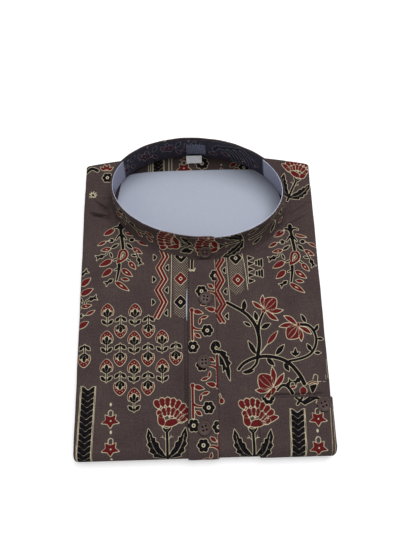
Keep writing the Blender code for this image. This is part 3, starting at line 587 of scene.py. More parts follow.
def drawFront(sheet):
    drawAt(drawSpray, sheet, ((-82.2, 44.6), (100.4, 37.4)))
    drawSpray(penOn(sheet, (-136.7, -0.4), turn=180))
    drawAt(drawBud, sheet, ((-96.8, -13.8), (-68.5, -14.6), (-96.8, -41.9), (-69, -42.9), (-40.8, -42.6),
            (-96.4, -70), (-68.9, -71.2), (-40.6, -71.4), (-68.6, -98.8)))
    drawAt(drawBud, sheet, ((-83, -34.2), (-54.6, -34.8), (-83, -62.4), (-54.9, -63), (-26.9, -62.8),
            (-82.6, -90.4), (-54.9, -91), (-119.2, -62.6)), turn=180)
    pen = penOn(sheet)
    drawZigzag(pen, ((-42.6, 60), (-41.9, 55), (-36.6, 42.1), (-43.9, 30.4), (-37.8, 17.8), (-45, 6.6),
            (-38.2, -6.4), (-46.6, -22.4)))
    for y in (42, 18, -6):
        drawHalfRound(pen, (-49.6 + (y - 42) * 0.03, y), 1)
    for y in (53.6, 30.4, 6.4, -17.6):
        drawHalfRound(pen, (-33.4 + (y - 42) * 0.03, y), -1)
    pen("cream", ((-29.7, 60), (-32, -22.4)), 0.4)
    drawLattice(pen, -28.4, -11, -21, 50, ((-20.3, 42.2), (-21, 18), (-21.6, -6.6)))
    drawZigzag(pen, ((17, 50), (22.8, 37), (16.6, 27.4), (22, 14.6), (15.7, 4.2), (22.8, -10.4),
            (16.4, -20), (21, -28.6)), 3.6)
    for y in (25.6, 3, -22.8):
        drawHalfRound(pen, (26.2 + (25 - y) * 0.02, y), -1)
    pen("cream", ((27.2, 47), (29.6, -7)), 0.36)
    drawLine(pen, "cream", 0.36, (43.4, 49), (46.4, 30), (48.8, 4))
    drawLattice(pen, 30, 44.6, 2, 46, ((37.4, 38.6), (38.8, 15)))
    drawStack(penOn(sheet, (50.6, 26.8)))
    pen("black", blade((32, 47.5), (41, 51.5), 3))
    drawLine(pen, "black", (1.4, 1.75), (26.6, -8.8), (34.5, -13.4), (42.8, -18.6), (49.8, -25.4),
            (54.8, -33.8), (57.2, -43.5), (57.3, -52.4), (55.3, -63.4))
    drawLine(pen, "black", (1.35, 1), (57.2, -40.4), (58.6, -30.4), (63, -20.6))
    drawLine(pen, "black", (1.3, 1.75), (35.4, -76.2), (40.2, -71.1), (47.3, -67.3), (55.1, -65),
            (64.1, -64.4), (73.7, -66), (81.8, -69), (88.4, -73.9), (93.6, -80.3), (97.2, -86), (99.6, -92))
    drawLine(pen, "black", (1.3, 0.9), (55.3, -63.4), (53.4, -70.8), (48.2, -76.1), (40.4, -79.4))
    drawLine(pen, "black", (1, 1.3), (86.6, -69.6), (98.6, -67.4), (107.9, -63.4), (113.5, -56.2),
            (115.4, -48), (113.3, -39.8), (108.3, -34.6), (101.1, -33.4))
    drawLine(pen, "cream", 0.42, (57.6, -61.6), (61.2, -57.6), (65.4, -52.6))
    drawScatter(pen, **vineLeaves)
    drawLotus(penOn(sheet, (64.4, -18), turn=-45, size=1.06))
    drawLotus(penOn(sheet, (98.5, -34.2), turn=138, size=1.08))
    drawLotus(penOn(sheet, (68.6, -96.2), turn=45, size=1.16))
    pen("red", disc((17.4, -106.2), 2.6, 0.85, 12))
    pen("red", ((15.6, -99.6), (17, -104)), 0.5)
    drawAt(drawCarnation, sheet, ((-36.6, -129.4), (46.6, -132.4)))
    drawChevrons(penOn(sheet, (-114, -90), turn=-2.2), 104)
    drawAt(drawStar, sheet, ((-91.4, -121.6), (-90.8, -147.4), (-90.2, -173.4)))
    drawFeather(penOn(sheet, (13, -48.4)))
    drawCutMotif(pen)
    drawTurned(sheet)


def drawCutMotif(pen):            # what the pocket's mouth cuts across
    drawLine(pen, "black", (0.9, 1.5), (72.6, -97.6), (78, -93), (83.4, -94.6), (87.8, -101))
    drawEach(drawFish, pen, (((82.4, -94.4), (86.8, -87.8), 4.4), ((96.2, -86.8), (89.4, -91.6), 5.6)))
    pen("red", blade((85.6, -95.6), (91.8, -94.4), 2.6))
    pen("red", disc((98.4, -99), 3.9, 0.85))
    pen("black", curve((104.8, -94.2), (111.6, -93.4), (107.2, -101), (104.8, -94.2)))
    drawLine(pen, "red", 0.6, (103.4, -92), (107.8, -90.6), (112.8, -92))
    drawLine(pen, "cream", 0.36, (108.6, -88), (110.4, -83.6), (113.6, -84.8), (113, -89.6))
    for a, b in (((113.2, -90.4), (116.6, -90.6)), ((118.6, -90.6), (121, -90.8)), ((121.6, -84),
            (121.8, -88.6))):
        pen("cream", (a, b), 0.3)
    pen("black", ((125.4, -70), (125, -86)), 0.9)


def drawTurned(sheet):            # below the carnations, where the cloth goes round the lower fold
    for x in (-106, -64, 18, 60, 101):
        drawBud(penOn(sheet, (x, -186), turn=180))
        drawFlower(penOn(sheet), (x + 21, -190), 5.6)


def drawBack(sheet):              # the cloth underneath: the same blocks in wide rows
    for row, y in enumerate((-205, -262, -319, -376, -433)):
        for column in range(-2, 3):
            x = column * 56 + (28 if row % 2 else 0)
            if row % 2 == 0:
                drawSpray(penOn(sheet, (x, y), turn=180, size=0.72))
            else:
                drawCarnation(penOn(sheet, (x, y - 4), turn=180, size=0.72))
        for column in range(-4, 5):
            drawBud(penOn(sheet, (column * 28 + 12, y - 28), turn=180 * (column % 2)))


def drawYoke(sheet):
    drawCarnation(penOn(sheet, (110, 128.6), turn=-26, size=0.85, flip=True))
    drawFlower(penOn(sheet), (-100.8, 135.8), 5.6)
    pen = penOn(sheet)
    for degrees in (35, 70, 105, 140):
        ray = way(math.radians(degrees))
        pen("red", blade((-102, 143) + ray * 2, (-102, 143) + ray * 9, 3))
    drawLine(pen, "black", 1.6, (-124, 143), (-118.4, 147), (-112, 144.6))
    for k in range(9):
        ray = way(k * tau / 9)
        pen("cream", ((-116, 115.2) + ray * 1.8, (-116, 115.2) + ray * 4.4), 0.46)
    drawLeaves(pen, black=[((-118, 117.4), (-113.6, 112.6), 2.6)], red=[((-125.6, 104.6), (-121, 100.6),
            3.6)])
    drawLine(pen, "black", 0.9, (-122.6, 108.6), (-119.4, 111), (-117.6, 109))
    inner = penOn(sheet, (0, 171.5))      # past the shoulder fold: the inside of the back
    drawChevrons(penOn(sheet, (-44.6, 164), turn=180), 43, pitch=4.6, half=5.4)
    for x in (-55.6, -53.2, -32.6, -29.4):
        pen("cream", ((x, 160), (x, 205)), 0.42)
    drawStar(penOn(sheet, (-15.6, 178.6), turn=180))
    drawLeaves(inner, red=[((-20, -3), (-8, -4), 3.4), ((36, 3), (44, -3), 4.4), ((40, 8), (46, 3), 3.6)])
    drawFlower(penOn(sheet), (4.6, 172.6), 7.2, 8)
    drawFlower(penOn(sheet), (51.6, 173.6), 5.6)
    drawLine(inner, "black", 1.1, (58, -6), (66, 0), (72, -4), (78, 4))
    drawLine(inner, "black", 0.9, (64, 6), (70, 10), (80, 8))
    drawStar(penOn(sheet, (26.4, 184), turn=180, size=0.7))
    drawCarnation(penOn(sheet, (-84, 186), turn=170, size=0.7))


def drawBand(sheet):              # along the collar from the front middle, up from the neck seam
    drawCarnation(penOn(sheet, (-15, 17), turn=97, size=0.94), leaves=False)
    drawCarnation(penOn(sheet, (27, 17.4), turn=94, size=0.92), stem=26)
    pen = penOn(sheet)
    drawLine(pen, "black", 1, (-13, 16.6), (-6, 15.8), (-1, 14.6))
    pen("black", blade((-1.6, 12), (-15, 5.4), 6.4, 0.5, 0.8, 1, teeth=4))
    pen("black", blade((-1.6, 19), (-14.4, 28), 6, 0.5, 0.8, 1, teeth=4))
    drawScatter(pen, red=[((-47, 8), (-55, 12), 4.2), ((-46, 16), (-56, 20), 4.4), ((-60, 8), (-68, 14), 4),
            ((104, 24), (113, 17), 5), ((101, 8), (110, 6), 3.8)], black=[((-70, 20), (-79, 17), 3.8),
            ((-84, 8), (-92, 13), 4), ((-88, 25), (-97, 20), 4.2), ((88, 6), (98, 18), 4.6), ((60, 25),
            (72, 28), 3.6), ((64, 6), (76, 10), 4)])
    drawLine(pen, "black", 1.1, (-58, 16), (-70, 15), (-80, 24), (-92, 27))
    drawLine(pen, "black", 1.2, (62, 16), (76, 17), (88, 24), (98, 29))
    drawLine(pen, "cream", 0.42, (92, 6), (97, 14), (95, 22))
    for k in range(-6, 7):
        if abs(k) > 2:
            x = k * 37
            drawFlower(pen, (x, 12 + (k % 2) * 8), 5.2)
            drawScatter(pen, red=[((x + 9, 8), (x + 20, 14), 4.6), ((x + 11, 22), (x + 22, 19), 3.6)],
                    black=[((x + 24, 26), (x + 29, 15), 3.2)])


def drawBandInside(sheet):
    for x, y, turn in ((-178.8, 15, 15), (-206.4, 18, -12), (-151, 12, 24), (-228, 13, 6)):
        drawStar(penOn(sheet, (x, y), turn=turn, size=0.95))
    pen = penOn(sheet)
    for x in (-192, -165, -219, -236):
        drawScatter(pen, red=[((x, 6), (x + 5, 14), 3.8), ((x - 6, 24), (x - 8, 15), 3)],
                black=[((x + 4, 19), (x - 1, 27), 3.8)])
    for x in (-138.4, -130.6, -122, 122, 134):
        pen("red", ((x, 9), (x + 3.4, 19)), 1.3)
        pen("black", ((x + 5.4, 16), (x + 7, 24)), 0.9)
    for x, lift in ((182, 4), (190, 2), (198, 0), (206, -2)):
        drawLine(pen, "black", 1.25, (x, 4 + lift), (x + 5, 16 + lift), (x + 15, 23 + lift),
                (x + 24, 20 + lift))
    drawScatter(pen, red=[((177, 9), (184, 19), 4.4), ((212, 9), (221, 13), 4.4), ((194, 8), (203, 12),
            3.6), ((226, 7), (236, 10), 4.2), ((168, 20), (160, 27), 4), ((146, 8), (140, 18), 4)],
            black=[((224, 24), (230, 12), 4), ((156, 8), (150, 20), 3.8)])
    for x in (-84, -74, -58, -50, 60, 72, 90):
        drawLine(pen, "black", 1, (x, 6), (x + 3, 15), (x + 1, 24))


def drawPlacket(sheet):
    drawAt(drawVine, sheet, ((-10, -15.6), (-10.8, -90.6), (-11.6, -166)))
    drawAt(drawVine, sheet, ((15.6, -17.4), (14.2, -92.2), (13.6, -167.4)), turn=180)
    drawFeather(penOn(sheet, (13, -48.4)))
    pen = penOn(sheet)
    pen("black", ((-8.6, 38), (-9.2, 27)), 1.1)
    drawLine(pen, "cream", 0.5, (-12.6, 28.4), (-11, 25.6), (-9, 27), (-7, 25.4), (-5.6, 28.6))
    pen("red", ((15.8, 42), (16.8, 27), (15.8, 14), (15.6, 4)), 1.1)


def drawPocket(sheet):
    drawCarnation(penOn(sheet, (45.8, -133.2)))
    drawFlower(penOn(sheet), (63, -104.6), 6)
    drawChevrons(penOn(sheet, (90.6, -117), turn=-1.8), 80)
    drawAt(drawStar, sheet, ((110.2, -125.4), (108.6, -151.6), (107.4, -177)))
    pen = penOn(sheet)
    for a, b in (((90, -105), (98.4, -111)), ((91, -111), (96.6, -104.6)), ((96.6, -109.4), (105, -104.6)),
            ((99.6, -110.2), (108.4, -106.2)), ((104, -104.6), (112.6, -106.4))):
        pen("black", (a, b), 1)
    for x in (121.2, 123.6):
        pen("cream", ((x + 1.4, -112), (x - 0.4, -190)), 0.26)


def readInk(sheet, across, along):
    def read(layer, shift=(0.0, 0.0)):                # between four neighbours
        field = sheet[layer]
        c = np.clip((across * 1000 + shift[0] - sheet["x0"]) / sheet["pitch"], 0, field.shape[1] - 1.001)
        r = np.clip((along * 1000 + shift[1] - sheet["y0"]) / sheet["pitch"], 0, field.shape[0] - 1.001)
        i, j = r.astype(int), c.astype(int)
        fr, fc = r - i, c - j
        low = field[i, j] * (1 - fc) + field[i, j + 1] * fc
        return low * (1 - fr) + (field[i + 1, j] * (1 - fc) + field[i + 1, j + 1] * fc) * fr

    black, cream = read("black") - ink["spread"], read("cream")
    outline = np.minimum(np.minimum(read("red"), black) - ink["outline"], cream)
    red = read("red", ink["shift"])                   # its block is printed a little out of register
    red = np.maximum(np.maximum(red, ink["apart"] - black), -cream)
    values = red, np.maximum(black, -cream), outline, read("lattice")
    return dict(zip(ink["layers"], values))


def printed(draw, x0, x1, y0, y1, pitch=ink["pitch"]):
    shape = int((y1 - y0) / pitch) + 1, int((x1 - x0) / pitch) + 1
    layers = {name: np.full(shape, 9.0, np.float32) for name in ("red", "black", "cream", "lattice")}
    sheet = {"x0": x0, "y0": y0, "pitch": pitch, "shape": shape, **layers}
    draw(sheet)
    return sheet


prints = {
    "front": printed(drawFront, -150, 150, -205, 116),
    "back": printed(drawBack, -150, 150, -520, -180, 0.7),
    "yoke": printed(drawYoke, -150, 150, 90, 206),
    "band": printed(drawBand, -250, 250, -2, 36),
    "inside": printed(drawBandInside, -250, 250, -2, 36),
    "placket": printed(drawPlacket, -22, 24, -200, 46),
    "pocket": printed(drawPocket, 48, 142, -200, -98),
}
print("print: blocks laid out on", len(prints), "cut pieces")


# Meshes
def layFaces(count, width, around=False):             # the quads of a grid of points, or of a row of rings
    index = np.arange(count * width).reshape(count, width)
    if around:
        index = np.column_stack((index, index[:, :1]))
    return np.stack((index[:-1, :-1], index[:-1, 1:], index[1:, 1:], index[1:, :-1]), -1).reshape(-1, 4)


sharpFrom = math.radians(50)


def makeObject(name, points, faces, look, inks=None, uv=None):
    mesh = bpy.data.meshes.new(name)
    mesh.from_pydata(np.asarray(points, float).tolist(), [], [list(face) for face in faces])
    for layer, values in (inks or {}).items():
        attribute = mesh.attributes.new(layer, "FLOAT", "POINT")
        attribute.data.foreach_set("value", np.asarray(values, np.float32))
    if uv is not None:
        corners = np.empty(len(mesh.loops), int)
        mesh.loops.foreach_get("vertex_index", corners)
        mesh.uv_layers.new(name="cloth").data.foreach_set("uv", np.asarray(uv, np.float32)[corners].ravel())
    mesh.shade_smooth()
    mesh.set_sharp_from_angle(angle=sharpFrom)
    mesh.materials.append(look)
    return addToScene(name, mesh)


def addToScene(name, data):
    made = bpy.data.objects.new(name, data)
    bpy.context.scene.collection.objects.link(made)
    return made


def takeMesh(made):               # what the modifiers make becomes the object's own plain mesh
    bpy.context.view_layer.update()
    real = bpy.data.meshes.new_from_object(made.evaluated_get(bpy.context.evaluated_depsgraph_get()))
    made.modifiers.clear()
    old, made.data = made.data, real
    bpy.data.meshes.remove(old)


def edgeLoop(faces, start):       # the border of a sheet, walked from one point
    edges = np.concatenate([np.stack((faces[:, i], faces[:, (i + 1) % 4]), 1) for i in range(4)])
    pairs = set(map(tuple, edges.tolist()))
    following = {a: b for a, b in pairs if (b, a) not in pairs}
    loop = [start]
    while following[loop[-1]] != start:
        loop.append(following[loop[-1]])
    return loop


def joinLoops(points, outer, inner):   # triangles between two borders that run the same way
    faces, i, j, far = [], 0, 0, 9.0
    a, b = outer + outer[:1], inner + inner[:1]
    where = points.tolist()
    while i < len(outer) or j < len(inner):
        stepOuter = math.dist(where[a[i + 1]], where[b[j]]) if i < len(outer) else far
        stepInner = math.dist(where[a[i]], where[b[j + 1]]) if j < len(inner) else far
        if stepOuter <= stepInner:
            faces.append([a[i + 1], a[i], b[j]])
            i += 1
        else:
            faces.append([a[i], b[j], b[j + 1]])
            j += 1
    return faces


def thin(values, skip):           # every skip-th value, and the last
    return np.append(values[:-1:skip], values[-1])


def clothSheet(name, surface, rows, columns, blocks=None, look=None, wall=fold["shell"], skip=4,
               keep=None, shown=None):
    # surface(row, column, out) gives points and their flat places. The side one can't see is coarser,
    # but for its rows past the one named by shown.
    rows, columns = np.asarray(rows, float), np.asarray(columns, float)
    within = (thin(rows, skip), thin(columns, skip))
    if shown is not None:
        within = (np.append(thin(rows[rows <= shown], skip), rows[rows > shown]), columns)
    sides = []
    for out, r, c in ((0.0, rows, columns), (-wall, *within)):
        rr, cc = np.meshgrid(r, c, indexing="ij")
        points, flat = surface(rr, cc, out)
        faces = layFaces(len(r), len(c))
        stays = np.ones(rr.shape, bool) if keep is None else keep(points, rr)
        faces = faces[stays.reshape(-1)[faces].all(1)]
        sides.append((points.reshape(-1, 3), flat.reshape(-1, 2), faces, len(c)))
    (outer, flatOuter, faces, width), (inner, flatInner, innerFaces, innerWidth) = sides
    a, b, _, d = middle = faces[len(faces) // 2]          # the faces of the outer side have to look out
    lifted, _ = surface(*(v.ravel()[middle[:1]] for v in np.meshgrid(rows, columns, indexing="ij")), 0.001)
    if np.cross(outer[b] - outer[a], outer[d] - outer[a]) @ (lifted[0] - outer[a]) < 0:
        faces, innerFaces = faces[:, ::-1], innerFaces[:, ::-1]
    loops = (edgeLoop(faces, len(outer) - width),
             [v + len(outer) for v in edgeLoop(innerFaces, len(inner) - innerWidth)])
    points = np.vstack((outer, inner))
    flat = np.vstack((flatOuter, flatInner))
    allFaces = faces.tolist() + (innerFaces[:, ::-1] + len(outer)).tolist() + joinLoops(points, *loops)
    used = np.zeros(len(points), bool)
    for face in allFaces:
        used[face] = True
    renumber = np.cumsum(used) - 1
    allFaces = [[int(renumber[v]) for v in face] for face in allFaces]
    inks = readInk(prints[blocks], flat[used, 0], flat[used, 1]) if blocks else None
    return makeObject(name, points[used], allFaces, look or printedCotton, inks, flat[used])


def joined(name, bundles, look, inks=None, uv=None):      # one piece of tubes, each with both its caps
    faces, start = [], 0
    for rings in bundles:
        count, width = rings.shape[:2]
        ring = np.arange(start, start + width)
        faces += (layFaces(count, width, around=True) + start).tolist()
        faces += [ring[::-1].tolist(), (ring + (count - 1) * width).tolist()]
        start += count * width
    made = makeObject(name, np.vstack([rings.reshape(-1, 3) for rings in bundles]), faces, look, inks, uv)
    bm = bmesh.new()
    bm.from_mesh(made.data)
    bmesh.ops.recalc_face_normals(bm, faces=bm.faces)
    bm.to_mesh(made.data)
    bm.free()
    return made


def tube(name, rings, look, inks=None, uv=None):
    return joined(name, [rings], look, inks, uv)


# Finishes
def srgb(*rgb):
    return tuple((v / 3294.6 if v <= 10.31 else ((v / 255 + 0.055) / 1.055) ** 2.4) for v in rgb) + (1.0,)


def feed(tree, socket, value):            # a value of its own, or what another node puts out
    if isinstance(value, bpy.types.NodeSocket):
        tree.links.new(value, socket)
    else:
        socket.default_value = value


def addNode(tree, kind, inputs=None, **settings):
    made = tree.nodes.new(kind)
    for key, value in settings.items():
        setattr(made, key, value)
    for socket, value in (inputs or {}).items():
        feed(tree, made.inputs[socket], value)
    return made


def calc(tree, operation, *values, clamp=False):
    inputs = dict(enumerate(values))
    return addNode(tree, "ShaderNodeMath", inputs, operation=operation, use_clamp=clamp).outputs[0]


def times(tree, first, *others):
    for other in others:
        first = calc(tree, "MULTIPLY", first, other)
    return first


def blend(tree, factor, a, b, kind="MIX"):
    made = addNode(tree, "ShaderNodeMix", data_type="RGBA", blend_type=kind)
    for label, value in {"Factor": factor, "A": a, "B": b}.items():
        kinds = ("RGBA",) if label != "Factor" else ("VALUE",)
        feed(tree, [s for s in made.inputs if s.name == label and s.type in kinds][0], value)
    return [s for s in made.outputs if s.type == "RGBA"][0]


def toned(tree, colour, tone):
    return blend(tree, 1.0, colour, tone, "MULTIPLY")


def ramp(tree, value, low, high, a=0.0, b=1.0):
    inputs = {"Value": value, "From Min": low, "From Max": high, "To Min": a, "To Max": b}
    return addNode(tree, "ShaderNodeMapRange", inputs).outputs["Result"]


def speckle(tree, vector, scale, detail=2.0, stretch=None):
    if stretch:
        vector = addNode(tree, "ShaderNodeMapping", {"Vector": vector, "Scale": stretch}).outputs[0]
    inputs = {"Vector": vector, "Scale": scale, "Detail": detail}
    return addNode(tree, "ShaderNodeTexNoise", inputs).outputs["Fac"]


def wander(tree, vector, scale, detail, low, high, a=0.0, b=1.0):     # speckle, spread from a to b
    return ramp(tree, speckle(tree, vector, scale, detail), low, high, a, b)


def newGroup(name, inputs, outputs, kind="ShaderNodeTree"):       # the kind of each input and output
    tree = bpy.data.node_groups.new(name, kind)
    for side, sockets in (("INPUT", inputs), ("OUTPUT", outputs)):
        for label, socketKind in sockets.items():
            tree.interface.new_socket(label, in_out=side, socket_type="NodeSocket" + socketKind)
    return tree, tree.nodes.new("NodeGroupInput").outputs, tree.nodes.new("NodeGroupOutput").inputs


cotton = {
    "ground": (75, 63, 62), "red": (98, 22, 26), "black": (5, 6, 13), "cream": (205, 194, 163),
    "pitch": 0.00042, "slub": 0.62, "slubs": ((1500.0, 60.0, 1.0), (60.0, 1500.0, 1.0)), "bleed": 0.34,
    "skin": {"Sheen_Weight": 0.01, "Sheen_Roughness": 0.45, "Specular_IOR_Level": 0.04},
    "roughness": (0.9, 0.8),
    "dyeScale": 26.0, "dye": (0.86, 1.12), "mottleScale": 620.0, "mottle": (0.8, 1.22),
    "fluffScale": 700.0, "fluff": 0.6, "raised": 0.00009, "raisedShare": 0.8,
}


def makeWeaveGroup():             # plain weave: height of the threads, and how their tone wanders
    inputs = {"Place": "Vector", "Pitch": "Float", "Slub": "Float"}
    tree, given, result = newGroup("plainWeave", inputs, {"Height": "Float", "Tone": "Float"})
    parts = addNode(tree, "ShaderNodeSeparateXYZ", {0: given["Place"]}).outputs
    turns = [times(tree, calc(tree, "DIVIDE", parts[i], given["Pitch"]), tau) for i in (0, 1)]
    over = times(tree, *(calc(tree, "SINE", turn) for turn in turns))
    feed(tree, result["Height"], calc(tree, "MULTIPLY_ADD", over, 0.5, 0.5))
    slubs = [speckle(tree, given["Place"], 1.0, 3.0, stretch) for stretch in cotton["slubs"]]
    uneven = calc(tree, "SUBTRACT", calc(tree, "ADD", *slubs), 1.0)
    feed(tree, result["Tone"], calc(tree, "MULTIPLY_ADD", uneven, given["Slub"], 1.0))
    return tree


def makePrintGroup():             # cream lines, red and black inks and dotted ground over dyed cloth
    inputs = {"Place": "Vector", "Bleed": "Float", "Ground": "Color", "Red": "Color", "Black": "Color",
              "Cream": "Color", **{label: "Float" for label in ink["layers"].values()}}
    tree, given, result = newGroup("blockPrint", inputs, {"Color": "Color", "Ink": "Float"})
    where = given["Place"]
    edge, stray = ink["edge"], calc(tree, "SUBTRACT", speckle(tree, where, ink["bleedScale"]), 0.5)
    stray = times(tree, stray, given["Bleed"])
    patchy = wander(tree, where, ink["patchScale"], 3.0, 0.25, 0.7, *ink["patchy"])
    red, black, cream = (ramp(tree, calc(tree, "ADD", given[name + " Ink"], stray), -edge, edge, 1.0, 0.0)
                         for name in ("Red", "Black", "Cream"))
    parts = addNode(tree, "ShaderNodeSeparateXYZ", {0: where}).outputs
    cells = []
    for sign in ("ADD", "SUBTRACT"):      # dots stand on diagonals
        diagonal = calc(tree, "DIVIDE", calc(tree, sign, parts[0], parts[1]), ink["cell"])
        cells.append(calc(tree, "SUBTRACT", calc(tree, "FRACT", diagonal), 0.5))
    away = calc(tree, "SQRT", calc(tree, "ADD", *(times(tree, c, c) for c in cells)))
    bare = times(tree, *(calc(tree, "SUBTRACT", 1.0, layer) for layer in (red, black)))
    within = ramp(tree, given["Lattice"], -0.3, 0.3, 1.0, 0.0)
    dots = times(tree, ramp(tree, away, *ink["dot"], 1.0, 0.0), within, ink["dotShare"], bare)
    cream = times(tree, cream, bare, ramp(tree, patchy, *ink["patchy"], ink["creamPatchy"], 1.0))
    worn = toned(tree, given["Red"], wander(tree, where, ink["wornScale"], 2.0, 0.32, 0.68, *ink["worn"]))
    colour = given["Ground"]
    for share, over in ((dots, given["Cream"]), (cream, given["Cream"]), (times(tree, red, patchy), worn),
                        (times(tree, black, patchy), given["Black"])):
        colour = blend(tree, share, colour, over)
    feed(tree, result["Color"], colour)
    feed(tree, result["Ink"], calc(tree, "ADD", red, black, clamp=True))
    return tree


weaveGroup, printGroup = makeWeaveGroup(), makePrintGroup()


def startMaterial(name, **values):
    made = bpy.data.materials.new(name)
    made.use_nodes = True
    finish(made.node_tree, **values)
    return made, made.node_tree


def finish(tree, **values):       # the shader's sockets, each a value or what a node puts out
    for socket, value in values.items():
        feed(tree, tree.nodes["Principled BSDF"].inputs[socket.replace("_", " ")], value)


def bump(tree, height, distance, strength=1.0):
    inputs = {"Height": height, "Distance": distance, "Strength": strength}
    return addNode(tree, "ShaderNodeBump", inputs).outputs[0]


def clothPlace(tree):
    return addNode(tree, "ShaderNodeUVMap", uv_map="cloth").outputs[0]


def ownPlace(tree):
    return addNode(tree, "ShaderNodeTexCoord").outputs["Object"]


def readLayer(tree, layer):
    return addNode(tree, "ShaderNodeAttribute", attribute_name=layer).outputs["Fac"]


def woven(tree, where, pitch, slub):
    inputs = {"Place": where, "Pitch": pitch, "Slub": slub}
    return addNode(tree, "ShaderNodeGroup", inputs, node_tree=weaveGroup).outputs


def makeCotton():
    made, tree = startMaterial("printedCotton", **cotton["skin"])
    where = clothPlace(tree)
    weave = woven(tree, where, cotton["pitch"], cotton["slub"])
    dye = wander(tree, where, cotton["dyeScale"], 3.0, 0.3, 0.7, *cotton["dye"])
    mottle = wander(tree, where, cotton["mottleScale"], 2.0, 0.3, 0.7, *cotton["mottle"])
    ground = toned(tree, srgb(*cotton["ground"]), times(tree, weave["Tone"], dye, mottle))
    inputs = {"Ground": ground, "Place": where, "Bleed": cotton["bleed"]}
    inputs.update({label: srgb(*cotton[label.lower()]) for label in ("Red", "Black", "Cream")})
    inputs.update({label: readLayer(tree, layer) for layer, label in ink["layers"].items()})
    blocks = addNode(tree, "ShaderNodeGroup", node_tree=printGroup)
    for label, value in inputs.items():
        feed(tree, blocks.inputs[label], value)
    fluff = speckle(tree, where, cotton["fluffScale"])
    height = calc(tree, "MULTIPLY_ADD", fluff, cotton["fluff"], weave["Height"])
    finish(tree, Base_Color=blocks.outputs["Color"],
           Roughness=ramp(tree, blocks.outputs["Ink"], 0.0, 1.0, *cotton["roughness"]),
           Normal=bump(tree, height, cotton["raised"], cotton["raisedShare"]))
    return made


wood = {"grain": (420.0, 2520.0, 90.0), "fleckScale": 2600.0, "tone": (0.35, 0.8), "roughness": (0.42, 0.6),
        "coatRoughness": 0.35, "raised": 0.00006}


def makeWood(name, dark, light, coat=0.06):
    made, tree = startMaterial(name, Coat_Weight=coat, Coat_Roughness=wood["coatRoughness"],
                               Specular_IOR_Level=coat * 5)
    where = ownPlace(tree)
    grain = speckle(tree, where, 1.0, 4.0, wood["grain"])
    fleck = speckle(tree, where, wood["fleckScale"], 1.0)
    tone = calc(tree, "MULTIPLY_ADD", fleck, 0.3, times(tree, grain, 0.85))
    finish(tree, Base_Color=blend(tree, ramp(tree, tone, *wood["tone"]), srgb(*dark), srgb(*light)),
           Roughness=ramp(tree, grain, 0.2, 0.8, *wood["roughness"]),
           Normal=bump(tree, grain, wood["raised"]))
    return made


thread = {"plyScale": 900.0, "twist": 2.0, "tone": (0.72, 1.1), "roughness": (0.8, 0.6), "raised": 0.00005}


def makeThread(name, colour, sheen=0.3):
    made, tree = startMaterial(name, Sheen_Weight=sheen)
    inputs = {"Vector": ownPlace(tree), "Scale": thread["plyScale"], "Distortion": thread["twist"]}
    ply = addNode(tree, "ShaderNodeTexWave", inputs, bands_direction="DIAGONAL").outputs["Fac"]
    finish(tree, Base_Color=toned(tree, srgb(*colour), ramp(tree, ply, 0.0, 1.0, *thread["tone"])),
           Roughness=ramp(tree, ply, 0.0, 1.0, *thread["roughness"]),
           Normal=bump(tree, ply, thread["raised"]))
    return made


paper = {
    "colour": (168, 174, 189), "pulpScale": 380.0, "pulp": (0.97, 1.03), "cloudScale": 22.0,
    "cloud": (0.955, 1.03), "roughness": (0.55, 0.7), "raised": 0.00012, "raisedShare": 0.6,
}


def makePaper():
    made, tree = startMaterial("cardPaper")
    where = ownPlace(tree)
    pulp = speckle(tree, where, paper["pulpScale"], 4.0)
    cloud = speckle(tree, where, paper["cloudScale"], 3.0)
    tone = times(tree, *(ramp(tree, v, 0.3, 0.7, *paper[k]) for v, k in ((pulp, "pulp"), (cloud, "cloud"))))
    finish(tree, Base_Color=toned(tree, srgb(*paper["colour"]), tone),
           Roughness=ramp(tree, cloud, 0.3, 0.7, *paper["roughness"]),
           Normal=bump(tree, pulp, paper["raised"], paper["raisedShare"]))
    return made


tape = {"sheen": 0.25, "slub": 0.3, "figure": (0.42, 0.62), "figureShare": 0.7, "roughness": (0.75, 0.5),
        "raised": 0.00008}


def makeWovenTape(name, base, figure, pitch, scale):      # label and tab: close weave with a pale figure
    made, tree = startMaterial(name, Sheen_Weight=tape["sheen"])
    where = clothPlace(tree)
    weave = woven(tree, where, pitch, tape["slub"])
    mottle = wander(tree, where, scale, 4.0, *tape["figure"])
    colour = blend(tree, times(tree, mottle, tape["figureShare"]), srgb(*base), srgb(*figure))
    finish(tree, Base_Color=toned(tree, colour, weave["Tone"]),
           Roughness=ramp(tree, mottle, 0.0, 1.0, *tape["roughness"]),
           Normal=bump(tree, weave["Height"], tape["raised"]))
    return made


plastic = {
    "tint": (232, 234, 244), "shine": (236, 237, 250), "milkAndReflection": (204, 205, 224), "ior": 1.4,
    "scuffScale": 300.0, "roughness": (0.1, 0.22), "skin": (0.15, 1.0),
    "hazeAndReflection": (0.02, 0.56), "edgeHaze": 0.7,
}


